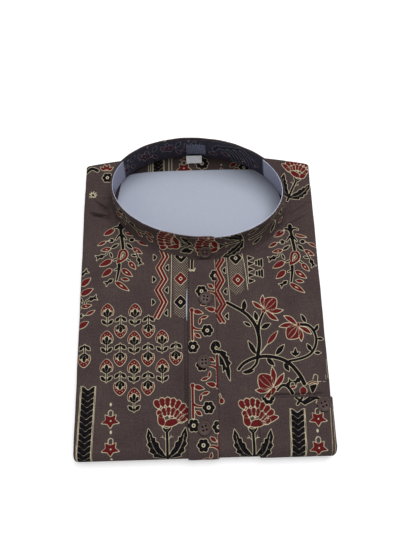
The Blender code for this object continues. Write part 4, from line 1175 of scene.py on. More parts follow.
def makeClearPlastic():           # a stiffening strip: see-through, with a skin that shines, and a painted reflection where it bends
    made, tree = startMaterial("clearStrip")
    tree.nodes.remove(tree.nodes["Principled BSDF"])
    scuff = wander(tree, ownPlace(tree), plastic["scuffScale"], 3.0, 0.35, 0.7, *plastic["roughness"])
    clear = addNode(tree, "ShaderNodeBsdfTransparent", {"Color": srgb(*plastic["tint"])}).outputs[0]
    inputs = {"Color": srgb(*plastic["shine"]), "Roughness": scuff}
    shine = addNode(tree, "ShaderNodeBsdfGlossy", inputs).outputs[0]
    milkAndReflection = addNode(tree, "ShaderNodeBsdfDiffuse", {"Color": srgb(*plastic["milkAndReflection"])}).outputs[0]
    facing = addNode(tree, "ShaderNodeFresnel", {"IOR": plastic["ior"]}).outputs[0]
    behind = addNode(tree, "ShaderNodeNewGeometry").outputs["Backfacing"]
    edge, bent = (readLayer(tree, layer) for layer in ("cutEdge", "bent"))
    front = calc(tree, "SUBTRACT", 1.0, behind)       # one skin shines, and dully where it lies flat
    skin = times(tree, facing, front, ramp(tree, bent, 0.0, 1.0, *plastic["skin"]))
    # painted reflection: where the strip bends, a milky diffuse layer stands in for the bright surroundings
    # seen in it edge-on; its cut edge is milky too
    hazeAndReflection = calc(tree, "MAXIMUM", ramp(tree, bent, 0.0, 1.0, *plastic["hazeAndReflection"]),
                ramp(tree, edge, 0.2, 1.0, 0.0, plastic["edgeHaze"]))
    hazedWithReflection = addNode(tree, "ShaderNodeMixShader", {0: hazeAndReflection, 1: clear, 2: milkAndReflection}).outputs[0]
    both = addNode(tree, "ShaderNodeMixShader", {0: skin, 1: hazedWithReflection, 2: shine}).outputs[0]
    feed(tree, tree.nodes["Material Output"].inputs["Surface"], both)
    return made


printedCotton, cardPaper, clearStrip = makeCotton(), makePaper(), makeClearPlastic()
buttonWood = makeWood("buttonWood", (52, 39, 36), (92, 74, 68))
holeShade = makeWood("holeShade", (10, 7, 7), (20, 14, 13), coat=0.0)      # painted shade: near-black, so the drilled holes read as deep in shadow
seamThread = makeThread("seamThread", (70, 58, 56))
buttonThread = makeThread("buttonThread", (112, 84, 86), 0.0)
labelWeave = makeWovenTape("labelWeave", (104, 102, 98), (226, 224, 216), 0.0004, 620.0)
tabTape = makeWovenTape("tabTape", (246, 246, 246), (252, 252, 250), 0.0005, 300.0)
print("finishes: cotton print, wood, paper, plastic, woven tapes, threads")


# The front, the underside and the yoke
sheets = {
    "split": 0.0015,              # where the two halves of the front meet, right of the middle
    "flatRun": 0.123, "underRuns": (0.291, 0.0163), "underRoll": 0.0064,     # these set how many points
    "yokeRuns": (0.0535, 0.0064, 0.0265), "yokeShown": 2.0, "yokeKept": 1.45, "neckClear": -0.0002,
}


def steps(length, spacing):
    return max(int(round(length / spacing)), 1) + 1


def rowsOf(spacing, *lengths):    # 0 to 1 along the first length, 1 to 2 along the next and on
    runs = [np.linspace(k, k + 1, steps(length, spacing))[1:] for k, length in enumerate(lengths)]
    return np.concatenate(([0.0], *runs))


def acrossColumns(low, high, spacing, roll):     # -2 to -1 and 1 to 2 roll round the side folds
    right = rowsOf(spacing, sheets["flatRun"], roll)
    both = np.concatenate((-right[:0:-1], right))
    return both[(both >= low) & (both <= high)]


def acrossAt(column, flat, radius, turn, split=0.0):
    side, share = np.where(column < 0, -1.0, 1.0), np.abs(column)
    level = mix(split, side * flat, np.minimum(share, 1))
    return np.where(share <= 1, level, side * (flat + (share - 1) * turn * radius))


def atSeam(column):               # x of each column where front and yoke meet
    return np.clip(column, -1, 1) * (halfWidth(column, fold["seam"]) - fold["sideRadius"])


def frontSurface(row, column, out):
    top = mix(seamY(atSeam(column)) - fold["gap"] / 2, foldY, np.minimum(row, 1))
    along = np.where(row <= 1, top, mix(foldY, underStart, row - 1))
    radius, turn = sideFold(along)
    flat = halfWidth(column, np.maximum(along, fold["near"])) - radius
    across = acrossAt(column, flat, radius, turn, sheets["split"])
    return clothPoint(across, along, out), np.stack((across, along), -1)


def underSurface(row, column, out):
    flatRun = fold["underFar"] - fold["underFarRadius"] - foldY
    ends = np.cumsum((0.0, flatRun, math.pi * fold["underFarRadius"], fold["tuck"]))
    along = underStart - np.interp(row, range(4), ends)
    radius, turn = sideFold(along)
    flat = halfWidth(column, np.maximum(foldY + underStart - along, fold["near"])) - radius
    across = acrossAt(column, flat, radius, turn)
    return clothPoint(across, along, out), np.stack((across, along), -1)


def yokeSurface(row, column, out):
    x = atSeam(column)
    radius = fold["yokeRadius"] + fold["yokeGrowth"] * x * x
    start, bend = seamY(x) + fold["gap"] / 2, farY(x) - radius
    last = bend + math.pi * radius
    t = row - np.minimum(np.floor(row), 2)
    below = mix(last, last + bend - fold["yokeUnder"], t)
    along = np.where(row < 1, mix(start, bend, t), np.where(row < 2, mix(bend, last, t), below))
    turn = np.radians(mix(fold["sideTurn"], fold["yokeTurn"], smooth(*fold["yokeTurnFrom"], along)))
    flat = halfWidth(column, np.minimum(along, fold["far"])) - fold["sideRadius"]
    across = acrossAt(column, flat, fold["sideRadius"], turn)
    return yokePoint(across, along, out), np.stack((across, along), -1)


def neckCut(last):                # keeps the rows past the last, and before it what is outside the neck
    return lambda points, row: (row > last) | outsideNeck(points, sheets["neckClear"])


def flatSize(made):               # width, length and area of the cut, read from its flat places
    mesh = made.data
    uv = np.empty(len(mesh.loops) * 2, np.float32)
    mesh.uv_layers[0].data.foreach_get("uv", uv)
    uv = uv.reshape(-1, 2)
    mesh.calc_loop_triangles()
    corners = np.empty(len(mesh.loop_triangles) * 3, int)
    mesh.loop_triangles.foreach_get("loops", corners)
    a, b, c = uv[corners.reshape(-1, 3)].transpose(1, 0, 2)
    doubled = np.abs((b - a)[:, 0] * (c - a)[:, 1] - (b - a)[:, 1] * (c - a)[:, 0]).sum()
    width, length = (uv.max(0) - uv.min(0)).tolist()
    return width, length, min(float(doubled / 4), width * length)      # both sides of the cloth are in it


def dress(made, node, rests=None, seam=0.0):     # hangs the piece on the root and hides its solid; for what lies on other cloth, its flat size is worked out
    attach(made, "root")
    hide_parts(node)
    if rests:
        width, length, area = flatSize(made)
        length += seam                # what is caught in a seam and doesn't show
    return made


grid, coarse = fold["grid"], fold["coarse"]
sideRoll = fold["sideRadius"] * math.radians(fold["sideTurn"])
frontRows = rowsOf(grid, fold["seam"] - foldY, math.pi * lowRadius)
frontColumns = (acrossColumns(low, low + 2, grid, sideRoll) for low in (-2, 0))
frontLeft, frontRight = (clothSheet(name, frontSurface, frontRows, columns, "front", keep=neckCut(1))
                         for name, columns in zip(("frontLeft", "frontRight"), frontColumns))
underRows = rowsOf(coarse, *sheets["underRuns"], fold["tuck"])
underColumns = acrossColumns(-2, 2, coarse, sheets["underRoll"])
frontUnder = clothSheet("frontUnder", underSurface, underRows, underColumns, "back", skip=3)
yokeRows, yokeColumns = rowsOf(grid, *sheets["yokeRuns"]), acrossColumns(-2, 2, grid, sideRoll)
yoke = clothSheet("yokeCloth", yokeSurface, yokeRows, yokeColumns, "yoke",
                  keep=neckCut(sheets["yokeKept"]), shown=sheets["yokeShown"])
print("front, yoke and underside laid")


# Hidden layers, seen at their folded edges
layers = {
    "levels": (  # height, inset at the sides, what the far end stops at
        (0.0017, 0.0062, "lower fold"), (0.0021, 0.004, "lower fold"), (0.0048, 0.0034, "lower fold"),
        (0.0056, 0.002, "lower fold"), (0.0066, 0.0009, "lower fold"), (0.0085, 0.0006, "lower fold"),
        (0.0088, 0.0007, "tuck"), (0.0098, 0.0014, "tuck"), (0.0108, 0.0046, "tuck"),
        (0.0109, 0.0052, "shoulder"), (0.0124, 0.005, "shoulder"), (0.0143, 0.005, "shoulder"),
        (0.015, 0.0058, "shoulder"), (0.0151, 0.0058, "card"), (0.0172, 0.0058, "card"),
        (0.0176, 0.0064, "card"),
    ),
    "topFar": 0.13, "setBack": 0.0022, "shoulderZ": 0.0128, "round": 120,
    "inFold": 0.0062, "nearFade": (0.02, 0.011), "farFade": (0.124, 0.134), "corner": 0.004,
    "cornerRun": 0.006, "sheetThick": 0.00125, "groove": 0.0007, "sharp": 0.6, "endShare": 0.8,
    "uneven": 0.0005, "waves": ((37, 2.7, 1), (91, -1.9, 0)),        # how often, phase by sheet and by side
    "spacing": 0.0003, "columns": (130, 70, 40),                     # at the sides, far end and near
    "sideFrom": 0.11, "sideAt": 0.09, "drift": (0.006, 0.0137), "printed": (-0.2, 0.09),
}


def layersFar(x, z, stop):
    end = fold["underFar"] + fold["skew"] * x - fold["underFarRadius"]
    if stop == "lower fold":
        room = fold["underFarRadius"] - fold["wall"] - 2 * fold["gap"]
        return end + math.sqrt(max(room**2 - (z - fold["underFarRadius"]) ** 2, 0.0))
    if stop == "tuck":
        return end - fold["tuck"] - 2 * fold["gap"] + np.minimum(fold["skew"] * x, 0.0)
    if stop == "shoulder":
        return farY(x) - layers["setBack"] - layers["round"] * (z - layers["shoulderZ"]) ** 2
    return layers["topFar"] + 0 * x


def layersRing(z, inset, stop):
    room = lowRadius - fold["wall"] - 2 * fold["gap"]
    near = foldY - math.sqrt(max(room**2 - (z - lowRadius) ** 2, 0.0))
    far = {side: float(layersFar(np.float64(side * fold["right"][1]), z, stop)) for side in (-1, 1)}
    sheet = math.floor(z / layers["sheetThick"])
    groove = layers["groove"] * (1 - abs(math.sin(math.pi * z / layers["sheetThick"])) ** layers["sharp"])
    nearFade = [fold["near"] + v for v in layers["nearFade"]]

    def sidePoints(side, count):
        y = np.linspace(near + fold["wall"], far[side] - fold["wall"], count)
        nearFold = layers["inFold"] * smooth(*nearFade, y)
        farFold = layers["inFold"] * smooth(*layers["farFade"], y) if stop == "lower fold" else 0.0
        corner = layers["corner"] * smooth(far[side] - layers["cornerRun"], far[side], y)
        wave = sum(np.sin(often * y + a * sheet + b * side) for often, a, b in layers["waves"])
        half = halfWidth(side, y) - np.maximum(np.maximum(inset, nearFold), farFold) - corner - groove
        return place(side * (half - layers["uneven"] * (0.5 + 0.25 * wave)), y, z)

    atSide, atFar, atNear = layers["columns"]
    right, left = (sidePoints(side, atSide) for side in (1, -1))
    farX = np.linspace(right[-1, 0] - fold["wall"], left[-1, 0] + fold["wall"], atFar)
    farEnd = place(farX, layersFar(farX, z, stop) - groove * layers["endShare"], z)
    nearX = np.linspace(left[0, 0] + fold["wall"], right[0, 0] - fold["wall"], atNear)
    return np.vstack((right, farEnd, left[::-1], place(nearX, near, z)))


def makeLayers():
    rings = []
    table = layers["levels"]
    for (z0, inset0, stop), (z1, inset1, _) in zip(table, table[1:]):
        count = max(int(round((z1 - z0) / layers["spacing"])), 1)
        for share in np.arange(count) / count:
            rings.append(layersRing(mix(z0, z1, share), mix(inset0, inset1, share), stop))
    points = np.array([*rings, layersRing(*table[-1])])
    x, y, z = np.moveaxis(points, -1, 0)
    sheet = np.floor(z / layers["sheetThick"])
    aside, ahead = layers["drift"]        # each sheet shows another part of the print
    across = np.where(np.abs(x) > layers["sideFrom"], np.sign(x) * (layers["sideAt"] + aside * sheet), x)
    inks = readInk(prints["front"], across.ravel(), np.clip(y + ahead * sheet, *layers["printed"]).ravel())
    return tube("foldedStack", points, printedCotton, inks, np.stack((x + z, y), -1).reshape(-1, 2))


foldedStack = dress(makeLayers(), "folded_layers")
for made in (frontLeft, frontRight, frontUnder):
    dress(made, "front_panel", rests=[foldedStack])
dress(yoke, "yoke", rests=[foldedStack])


# The collar and what it holds
def lengthsAlong(points):
    return np.concatenate(([0.0], np.cumsum(np.linalg.norm(np.diff(points, axis=0), axis=1))))


denseAngles = np.linspace(0, tau, 1441)
denseLengths = lengthsAlong(neckRing(denseAngles, 0 * denseAngles))
girth = denseLengths[-1]


def roundTheNeck(angle):          # distance along the neck seam from the front middle
    turns = np.floor(angle / tau)
    return np.interp(angle - turns * tau, denseAngles, denseLengths) + turns * girth


def wrapped(run):
    return (run + girth / 2) % girth - girth / 2


def makeBand():
    half, high = collar["wall"] / 2, collar["height"]
    rows, innerRows, lift = collar["rows"], collar["innerRows"], half / high
    start, end = (math.radians(v) for v in collar["lap"])
    angles = np.linspace(start, end, collar["columns"])
    arc = np.radians(np.linspace(90, -90, collar["rimRows"]))[1:-1]
    rises = np.concatenate((np.linspace(0, 1 - lift, rows), 1 - lift + np.cos(arc) * lift,
                            np.linspace(1 - lift, 0, innerRows)))
    outs = np.concatenate((np.full(rows, half), half * np.sin(arc), np.full(innerRows, -half)))
    toEnd = np.minimum(angles - start, end - angles) * collar["base"][0]
    drop = collar["corner"] - np.sqrt(collar["corner"] ** 2 - np.maximum(collar["corner"] - toEnd, 0) ** 2)
    rise = rises * (1 - drop / high)[:, None]
    angle = np.broadcast_to(angles[:, None], rise.shape)
    run = roundTheNeck(angle)
    sewn = sum(bell((rise - at) * high, collar["seamHalf"]) for at in collar["seams"])
    soft = sum(height * np.sin(around * run + up * rise + phase)
               for around, up, phase, height in collar["waves"])
    points = bandPoint(angle, rise, outs + soft * rise - collar["seamDepth"] * sewn * np.sign(outs))
    inside = np.broadcast_to(outs < 0, rise.shape)
    risen = rise * high
    outer, inner = (readInk(prints[k], wrapped(run).ravel(), risen.ravel()) for k in ("band", "inside"))
    inks = {k: np.where(inside.ravel(), inner[k], outer[k]) for k in outer}
    uv = np.stack((run, np.where(inside, -collar["insideApart"] - risen, risen)), -1).reshape(-1, 2)
    return tube("collarBand", points, printedCotton, inks, uv)


band = makeBand()
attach(band, "root")
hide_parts("collar_band")

strip = {
    "thick": 0.0006, "angles": (20, 340), "rises": (0.06, 0.965), "columns": 300, "rows": 14,
    "bentTo": (132.0, 243.0), "edgeFrom": 0.93, "labelAt": 184.0, "labelHalf": 6.5, "labelThick": 0.0005,
    "labelFade": (2.2, 1.3),
}


def makeStrip():
    degrees = np.linspace(*strip["angles"], strip["columns"])[:, None]
    rises = np.linspace(*strip["rises"], strip["rows"])
    away = np.abs(degrees - strip["labelAt"]) / strip["labelHalf"]
    step = (strip["labelThick"] + fold["gap"]) * smooth(*strip["labelFade"], away)
    outer = -collar["wall"] / 2 - fold["gap"]
    rise = np.concatenate((rises, rises[::-1]))
    out = np.repeat((outer, outer - strip["thick"]), strip["rows"])
    low, high = strip["bentTo"]           # bent round the front, where it is seen edge-on, the strip takes a painted reflection: a milky haze
    bent = np.clip(np.maximum(low - degrees, degrees - high), 0, 1) + 0 * rise
    cutEdge = smooth(strip["edgeFrom"], strip["rises"][1], rise) * bent
    inks = {"cutEdge": cutEdge.ravel(), "bent": bent.ravel()}
    return tube("clearStrip", bandPoint(np.radians(degrees), rise, out - step), clearStrip, inks)


dress(makeStrip(), "collar_strip")

label = {"rises": (0.2, 0.7), "puff": (40, 30, 0.00004), "wall": 0.0004, "grid": (33, 41)}


def labelSurface(row, column, out):
    angle = np.radians(strip["labelAt"] + column * strip["labelHalf"])
    rise = mix(*label["rises"], row)
    along, across, height = label["puff"]
    puff = height * np.sin(row * along) * np.sin(column * across)
    inner = -collar["wall"] / 2 - fold["gap"] - strip["labelThick"] - out + puff
    return bandPoint(angle, rise, inner), np.stack((roundTheNeck(angle), rise * collar["height"]), -1)


def smallSheet(name, surface, look, values):
    rows, columns = np.linspace(0, 1, values["grid"][0]), np.linspace(-1, 1, values["grid"][1])
    return clothSheet(name, surface, rows, columns, look=look, wall=values["wall"], skip=2)


dress(smallSheet("neckLabel", labelSurface, labelWeave, label), "neck_label", rests=[band])

tab = {"x": -0.004, "width": 0.0172, "length": 0.0094, "wall": 0.0005, "rise": 0.0078, "slope": 70.0,
       "curl": (0.001, 0.0004), "grid": (25, 33)}


def tabSurface(row, column, out):
    inside = collar["wall"] / 2 + 5 * fold["gap"] + strip["thick"] + strip["labelThick"] + tab["wall"]
    seam = neckRing(np.float64(math.pi), -inside, 1.0)
    slope = math.radians(tab["slope"])
    end, corners = tab["curl"]
    down, lift = row * tab["length"], out + end * row**2 + corners * np.abs(column) ** 3 * row
    x = tab["x"] + column * tab["width"] / 2
    y = seam[1] - math.cos(slope) * down - math.sin(slope) * lift
    z = fold["thick"] + tab["rise"] - math.sin(slope) * down + math.cos(slope) * lift
    return place(x, y, z), np.stack((x, down), -1)


dress(smallSheet("sizeTab", tabSurface, tabTape, tab), "size_tab", rests=[yoke], seam=0.001)

card = {
    "z": 0.0181, "thick": 0.0008, "middle": 0.058, "from": 0.004, "rings": 56, "turns": 220, "skip": 5,
    "outline": (  # y, half width
        (0.1425, 0.03), (0.1418, 0.058), (0.1394, 0.0772), (0.1338, 0.0848), (0.108, 0.0895),
        (0.085, 0.0955), (0.05, 0.099), (0.0, 0.099), (-0.018, 0.093), (-0.026, 0.078),
    ),
    "bow": 0.00025, "waves": (38, 0.6, 31),
}


def cardReach(turns):             # how far the rounded outline is from the middle, each way
    right = [(w, y - card["middle"]) for y, w in card["outline"]]
    corners = np.array(right + [(-w, y) for w, y in right[::-1]])
    x, y = way(turns).T
    reach = np.full(len(turns), 1.0)
    for a, b in zip(corners, np.roll(corners, -1, 0)):
        edge = b - a
        cross = x * edge[1] - y * edge[0]
        cross = np.where(np.abs(cross) < tiny, tiny, cross)
        t = (a[0] * edge[1] - a[1] * edge[0]) / cross
        s = (a[0] * y - a[1] * x) / cross
        reach = np.where((np.abs(s - 0.5) <= 0.5 + 1e-6) & (t > 0), np.minimum(reach, t), reach)
    return np.minimum((np.roll(reach, 1) + reach + np.roll(reach, -1)) / 3, reach)


def makeCard():
    turns = np.linspace(0, tau, card["turns"], endpoint=False)
    reach = cardReach(turns)
    across, phase, along = card["waves"]

    def face(shares, z):
        x = shares[:, None] * reach * np.cos(turns)
        y = shares[:, None] * reach * np.sin(turns) + card["middle"]
        bow = card["bow"] * np.sin(across * x + phase) * np.cos(along * y) * (1 - shares[:, None] ** 4)
        return place(x, y, z + bow)

    shares = np.linspace(card["from"], 1, card["rings"])
    top, under = face(shares, card["z"] + card["thick"]), face(thin(shares, card["skip"])[::-1], card["z"])
    return tube("neckCard", np.concatenate((top, under)), cardPaper)


dress(makeCard(), "neck_card")
print("collar, strip, card, label and tab set in the neck")


# The placket and the pocket
trim = {"end": lowRadius * math.radians(150), "edge": 0.0006, "out": fold["gap"] + fold["wall"]}
placket = {
    "left": -0.0125, "width": 0.0285, "lean": 1.2, "spread": 0.0075, "top": 0.0378,
    "spacing": 0.00074, "columns": 45, "seam": (0.0019, 0.0007, 0.00012),
    "pull": (0.00012, 2100, 3, 170, 1.7),
    "soft": (0.0001, 410, 60, 95, 1.0), "softFrom": 0.004,
}
pocket = {
    "left": 0.0532, "top": -0.104, "lean": 1.0, "turn": 105.0, "flat": 0.8,
    "rows": 102, "columns": (94, 15), "seam": (0.0016, 0.0007, 0.0002),
    "mouthSeam": (0.0125, 0.0009, 0.8), "hem": (0.00022, 0.0135, 0.0115),
    "puckers": (  # x, half width, height, along its mouth
        (0.076, 0.0075, 0.0005), (0.093, 0.005, 0.0011), (0.104, 0.004, 0.0008), (0.066, 0.003, 0.0002),
    ),
    "puckerRun": 0.02, "puckerFade": (0.122, 0.112),
}
trimBottom = foldY - trim["end"]
placketDepth, pocketDepth = placket["top"] - trimBottom, pocket["top"] - trimBottom


def rolledEdge(toEdge, out):      # a folded edge is round: the outer face drops towards the inner one
    near = np.clip(1 - toEdge / trim["edge"], 0, 1)
    drop = trim["edge"] * (1 - np.sqrt(1 - near**2))
    return trim["out"] + out - np.where(out > -0.0001, drop, 0.0)


def placketSurface(row, column, out):
    along = mix(placket["top"], trimBottom, row)
    down = placket["top"] - along
    width = placket["width"] + placket["spread"] * down
    across = placket["left"] - math.tan(math.radians(placket["lean"])) * down + width * column
    toSide = np.minimum(column, 1 - column) * width
    height, often, sway, seldom, phase = placket["pull"]
    wave = along * often + sway * np.sin(along * seldom) + np.where(column < 0.5, 0.0, phase)
    pull = height * (0.5 + 0.5 * np.sin(wave))
    at, half, depth = placket["seam"]
    height, by, slant, up, phase = placket["soft"]
    soft = height * np.sin(by * across + slant * along) * np.sin(up * along + phase)
    raised = soft * smooth(0, placket["softFrom"], toSide) - bell(toSide - at, half) * (depth + pull)
    rolled = rolledEdge(np.minimum(toSide, row * placketDepth), out)
    return clothPoint(across, along, rolled + raised), np.stack((across, along), -1)


def pocketSurface(row, column, out):
    top, left, flatShare = pocket["top"], pocket["left"], pocket["flat"]
    lean = math.tan(math.radians(pocket["lean"])) * (fold["right"][0] - left) * column
    along = mix(top, trimBottom, row)
    along = along - lean * smooth(foldY, top, along)
    radius, _ = sideFold(along)
    flat = halfWidth(1, np.maximum(along, fold["near"])) - radius
    rolled = np.maximum(column - flatShare, 0) / (1 - flatShare) * math.radians(pocket["turn"]) * radius
    across = mix(left, flat, np.minimum(column / flatShare, 1.0)) + rolled
    lift = sum(height * bell(across - at, half) for at, half, height in pocket["puckers"])
    lift = lift * smooth(pocket["puckerRun"], 0.0, top - along) * smooth(*pocket["puckerFade"], across)
    toSide, toMouth = across - left, row * pocketDepth
    at, half, depth = pocket["seam"]
    mouthAt, mouthHalf, mouthShare = pocket["mouthSeam"]
    sewn = depth * (bell(toSide - at, half) + mouthShare * bell(toMouth - mouthAt, mouthHalf))
    hemHeight, *hemEdge = pocket["hem"]
    raised = lift + hemHeight * smooth(*hemEdge, toMouth) - sewn
    rolled = rolledEdge(np.minimum(toSide, toMouth), out)
    return clothPoint(across, along, rolled + raised), np.stack((across, along), -1)


def trimSheet(name, surface, rows, columns, blocks):
    return clothSheet(name, surface, np.linspace(0, 1, rows), columns, blocks, wall=fold["wall"])


placketRows, placketColumns = steps(placketDepth, placket["spacing"]), np.linspace(0, 1, placket["columns"])
placketCloth = trimSheet("placketStrip", placketSurface, placketRows, placketColumns, "placket")
flat, (flatColumns, rolledColumns) = pocket["flat"], pocket["columns"]
pocketColumns = np.concatenate((np.linspace(0, flat, flatColumns), np.linspace(flat, 1, rolledColumns)[1:]))
pocketCloth = trimSheet("pocketPatch", pocketSurface, pocket["rows"], pocketColumns, "pocket")
dress(placketCloth, "placket", rests=[frontLeft, frontRight])
dress(pocketCloth, "pocket", rests=[frontRight])
print("placket and pocket laid on")


# Buttons
button = {
    "radius": 0.00675, "thick": 0.0026, "turns": 96, "hole": 0.00096, "holeTurns": 24, "holeFoot": 0.00015,
    "core": 0.003, "apart": 0.0035,
    "places": (("button1", "button_1", 0.0044, -0.0038), ("button2", "button_2", 0.0011, -0.0677),
               ("button3", "button_3", -0.0002, -0.1305)),
    "turned": (-9, 12), "pocket": (0.1165, -0.1117), "pocketTurned": 20,
    "collar": (6.9, 0.35), "collarTurned": 4,
    "profile": (  # share of the radius, share of the thickness, up the outside and into the dish
        (0.0, 0.0), (0.72, 0.0), (0.82, 0.02), (0.92, 0.14), (0.985, 0.34), (1.0, 0.5), (0.995, 0.68),
        (0.975, 0.83), (0.94, 0.94), (0.9, 0.995), (0.86, 1.0), (0.81, 0.965), (0.77, 0.87), (0.74, 0.77),
        (0.7, 0.71), (0.63, 0.685), (0.5, 0.67), (0.3, 0.65), (0.0, 0.64),
    ),
}
strand = {"radius": 0.00014, "in": 0.8, "aside": 0.9, "floor": 0.0002, "face": 0.65, "sunk": 0.0002,
          "over": (0.9, 1.5), "points": 15, "arch": 0.35, "sides": 8}


def standOn(made, at, normal, turn):
    move = Matrix.Translation(at) @ Vector((0, 0, 1)).rotation_difference(normal).to_matrix().to_4x4()
    made.data.transform(move @ Matrix.Rotation(math.radians(turn), 4, "Z"))


def drill(target, cutters):
    for cutter in cutters:
        boolean = target.modifiers.new("holes", "BOOLEAN")
        boolean.object = cutter
        boolean.material_mode = "TRANSFER"
    takeMesh(target)
    for cutter in cutters:
        bpy.data.meshes.remove(cutter.data)               # and the cutter with it


def ringsAround(profile, turns):
    x, y = way(np.linspace(0, tau, turns, endpoint=False)).T
    return np.array([place(r * x, r * y, z) for r, z in profile])


def makeButton(name, node, at, turn, normal=(0, 0, 1)):
    at, normal = Vector(at), Vector(normal)
    radius, thick = button["radius"], button["thick"]
    profile = [(max(r, button["core"]) * radius, z * thick) for r, z in button["profile"]]
    made = tube(name, ringsAround(profile, button["turns"]), buttonWood)
    half = button["apart"] / 2
    spots = [(dx * half, dy * half) for dx in (-1, 1) for dy in (-1, 1)]
    ends = (button["holeFoot"], 2 * thick)                # each hole stops at a foot where the thread ends; foot and wall take a near-black painted shade
    hole = ringsAround([(button["hole"], z) for z in ends], button["holeTurns"])
    # the cutters leave their painted shade on the walls and feet of the holes
    drill(made, [tube("pin", hole + np.array((x, y, 0)), holeShade) for x, y in spots])
    standOn(made, at, normal, turn)
    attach(made, "root")
    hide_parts(node)
    strands = [makeStrand(spots[a], spots[b], side, layer)
               for layer, (a, b) in enumerate(((0, 3), (1, 2))) for side in (-1, 1)]
    sewn = joined(name + "Thread", strands, buttonThread)
    standOn(sewn, at, normal, turn)
    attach(sewn, "root")


def makeStrand(a, b, side, layer):       # up through one hole, over the face and down the next
    a, b = np.array((*a, 0.0)), np.array((*b, 0.0))
    run = unit(b - a)
    inward = run * button["hole"] * strand["in"]              # drawn tight against the middle
    aside = np.cross((0, 0, 1), run) * side * strand["radius"] * strand["aside"]
    a, b = a + inward + aside, b - inward + aside
    face = button["thick"] * strand["face"]
    over, more = strand["over"]
    high = strand["radius"] * (over + more * layer) + strand["sunk"]
    t = np.linspace(0, 1, strand["points"])
    path = a + (b - a) * t[:, None]
    path[:, 2] = face - strand["sunk"] + high * np.sin(np.pi * t) ** strand["arch"]
    foot, last = (np.array((*v[:2], strand["floor"])) for v in (a, b))
    return sweep(np.vstack((foot, path, last)), strand["radius"], strand["sides"])


def sweep(path, radius, sides):
    ways = unit(np.gradient(path, axis=0))
    side = unit(np.cross(ways, (0.31, 0.17, 0.05)))
    other = np.cross(ways, side)
    x, y = way(np.linspace(0, tau, sides, endpoint=False)).T[..., None]
    return path[:, None] + radius * (side[:, None] * x + other[:, None] * y)


first, step = button["turned"]
for k, (name, node, x, y) in enumerate(button["places"]):
    makeButton(name, node, clothPoint(x, y, fold["wall"] + 2 * fold["gap"]), first + step * k)
pocketAt = clothPoint(*button["pocket"], fold["wall"] + 4 * fold["gap"])
makeButton("buttonPocket", "button_pocket", pocketAt, button["pocketTurned"])


def bandFrame(angle, rise, out):         # a place on the band and the way out of it
    small = 1e-4
    at = bandPoint(angle, rise, out)
    along, up = (bandPoint(angle + a, rise + b, out) - at for a, b in ((small, 0), (0, small)))
    return at, unit(np.cross(along, up))


around, rise = button["collar"]
at, normal = bandFrame(math.radians(around), rise, collar["wall"] / 2)
makeButton("buttonCollar", "button_collar", at + normal * 4 * fold["gap"], button["collarTurned"], normal)
print("buttons turned, drilled and sewn on")


# Stitches
stitch = {
    "length": 0.0021, "pitch": 0.003, "radius": 0.00018, "flat": 0.8, "sink": 0.00003, "ball": (8, 7),
    "ahead": 0.0004, "lift": 0.0005, "fewest": 10, "neckClear": 0.0012,
    "placket": ((0.062, 0.055), (0.938, 0.945)),              # columns, from the top to the lower fold
    "yoke": (0.05, 0.02), "yokeTo": 1.6,
    "pocketSide": (0.018, 0.018), "pocketMouth": (0.0125, 0.02, 0.97),
}


def makeStitchNodes():            # a thread lies along each marked place
    inputs = {"Geometry": "Geometry", "Length": "Float", "Radius": "Float", "Thread": "Material"}
    tree, given, result = newGroup("stitches", inputs, {"Geometry": "Geometry"}, "GeometryNodeTree")

    def step(kind, settings=None, **inputs):
        return addNode(tree, kind, inputs, **(settings or {})).outputs[0]

    segments, rings = stitch["ball"]
    ball = step("GeometryNodeMeshUVSphere", Segments=segments, Rings=rings, Radius=1.0)
    size = step("ShaderNodeCombineXYZ", X=given["Radius"], Y=times(tree, given["Radius"], stitch["flat"]),
                Z=times(tree, given["Length"], 0.5))
    thread = step("GeometryNodeTransform", Geometry=ball, Scale=size)
    along, up = (step("GeometryNodeInputNamedAttribute", {"data_type": "FLOAT_VECTOR"}, Name=layer)
                 for layer in ("along", "up"))
    align = "FunctionNodeAlignRotationToVector"
    turned = step(align, {"axis": "Z"}, Vector=along)
    turned = step(align, {"axis": "Y", "pivot_axis": "Z"}, Rotation=turned, Vector=up)
    laid = step("GeometryNodeInstanceOnPoints", Points=given["Geometry"], Instance=thread, Rotation=turned)
    real = step("GeometryNodeRealizeInstances", Geometry=laid)
    feed(tree, result[0], step("GeometryNodeSetMaterial", Geometry=real, Material=given["Thread"]))
    return tree


stitchNodes = makeStitchNodes()


def sew(name, lines):             # lines: dense points and the way out of the cloth there
    spots, alongs, ups = [], [], []
    for points, outs in lines:
        run = lengthsAlong(points)
        at = np.arange(stitch["length"], run[-1] - stitch["length"], stitch["pitch"])
        if len(at) < 2:
            continue
        spot, ahead, out = (np.stack([np.interp(where, run, column) for column in values.T], -1)
                            for where, values in ((at, points), (at + stitch["ahead"], points), (at, outs)))
        spots.append(spot + out * stitch["sink"])
        alongs.append(ahead - spot)
        ups.append(out)
    mesh = bpy.data.meshes.new(name)
    mesh.from_pydata(np.vstack(spots).tolist(), [], [])
    for layer, vectors in (("along", alongs), ("up", ups)):
        attribute = mesh.attributes.new(layer, "FLOAT_VECTOR", "POINT")
        attribute.data.foreach_set("vector", unit(np.vstack(vectors)).astype(np.float32).ravel())
    made = addToScene(name, mesh)
    modifier = made.modifiers.new("stitches", "NODES")
    modifier.node_group = stitchNodes
    values = {"Length": stitch["length"], "Radius": stitch["radius"], "Thread": seamThread}
    for item in stitchNodes.interface.items_tree:
        if item.in_out == "INPUT" and item.name in values:
            modifier[item.identifier] = values[item.name]
    takeMesh(made)
    made.data.shade_smooth()
    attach(made, "root")


def wayOut(low, high):
    return low, unit(high - low)


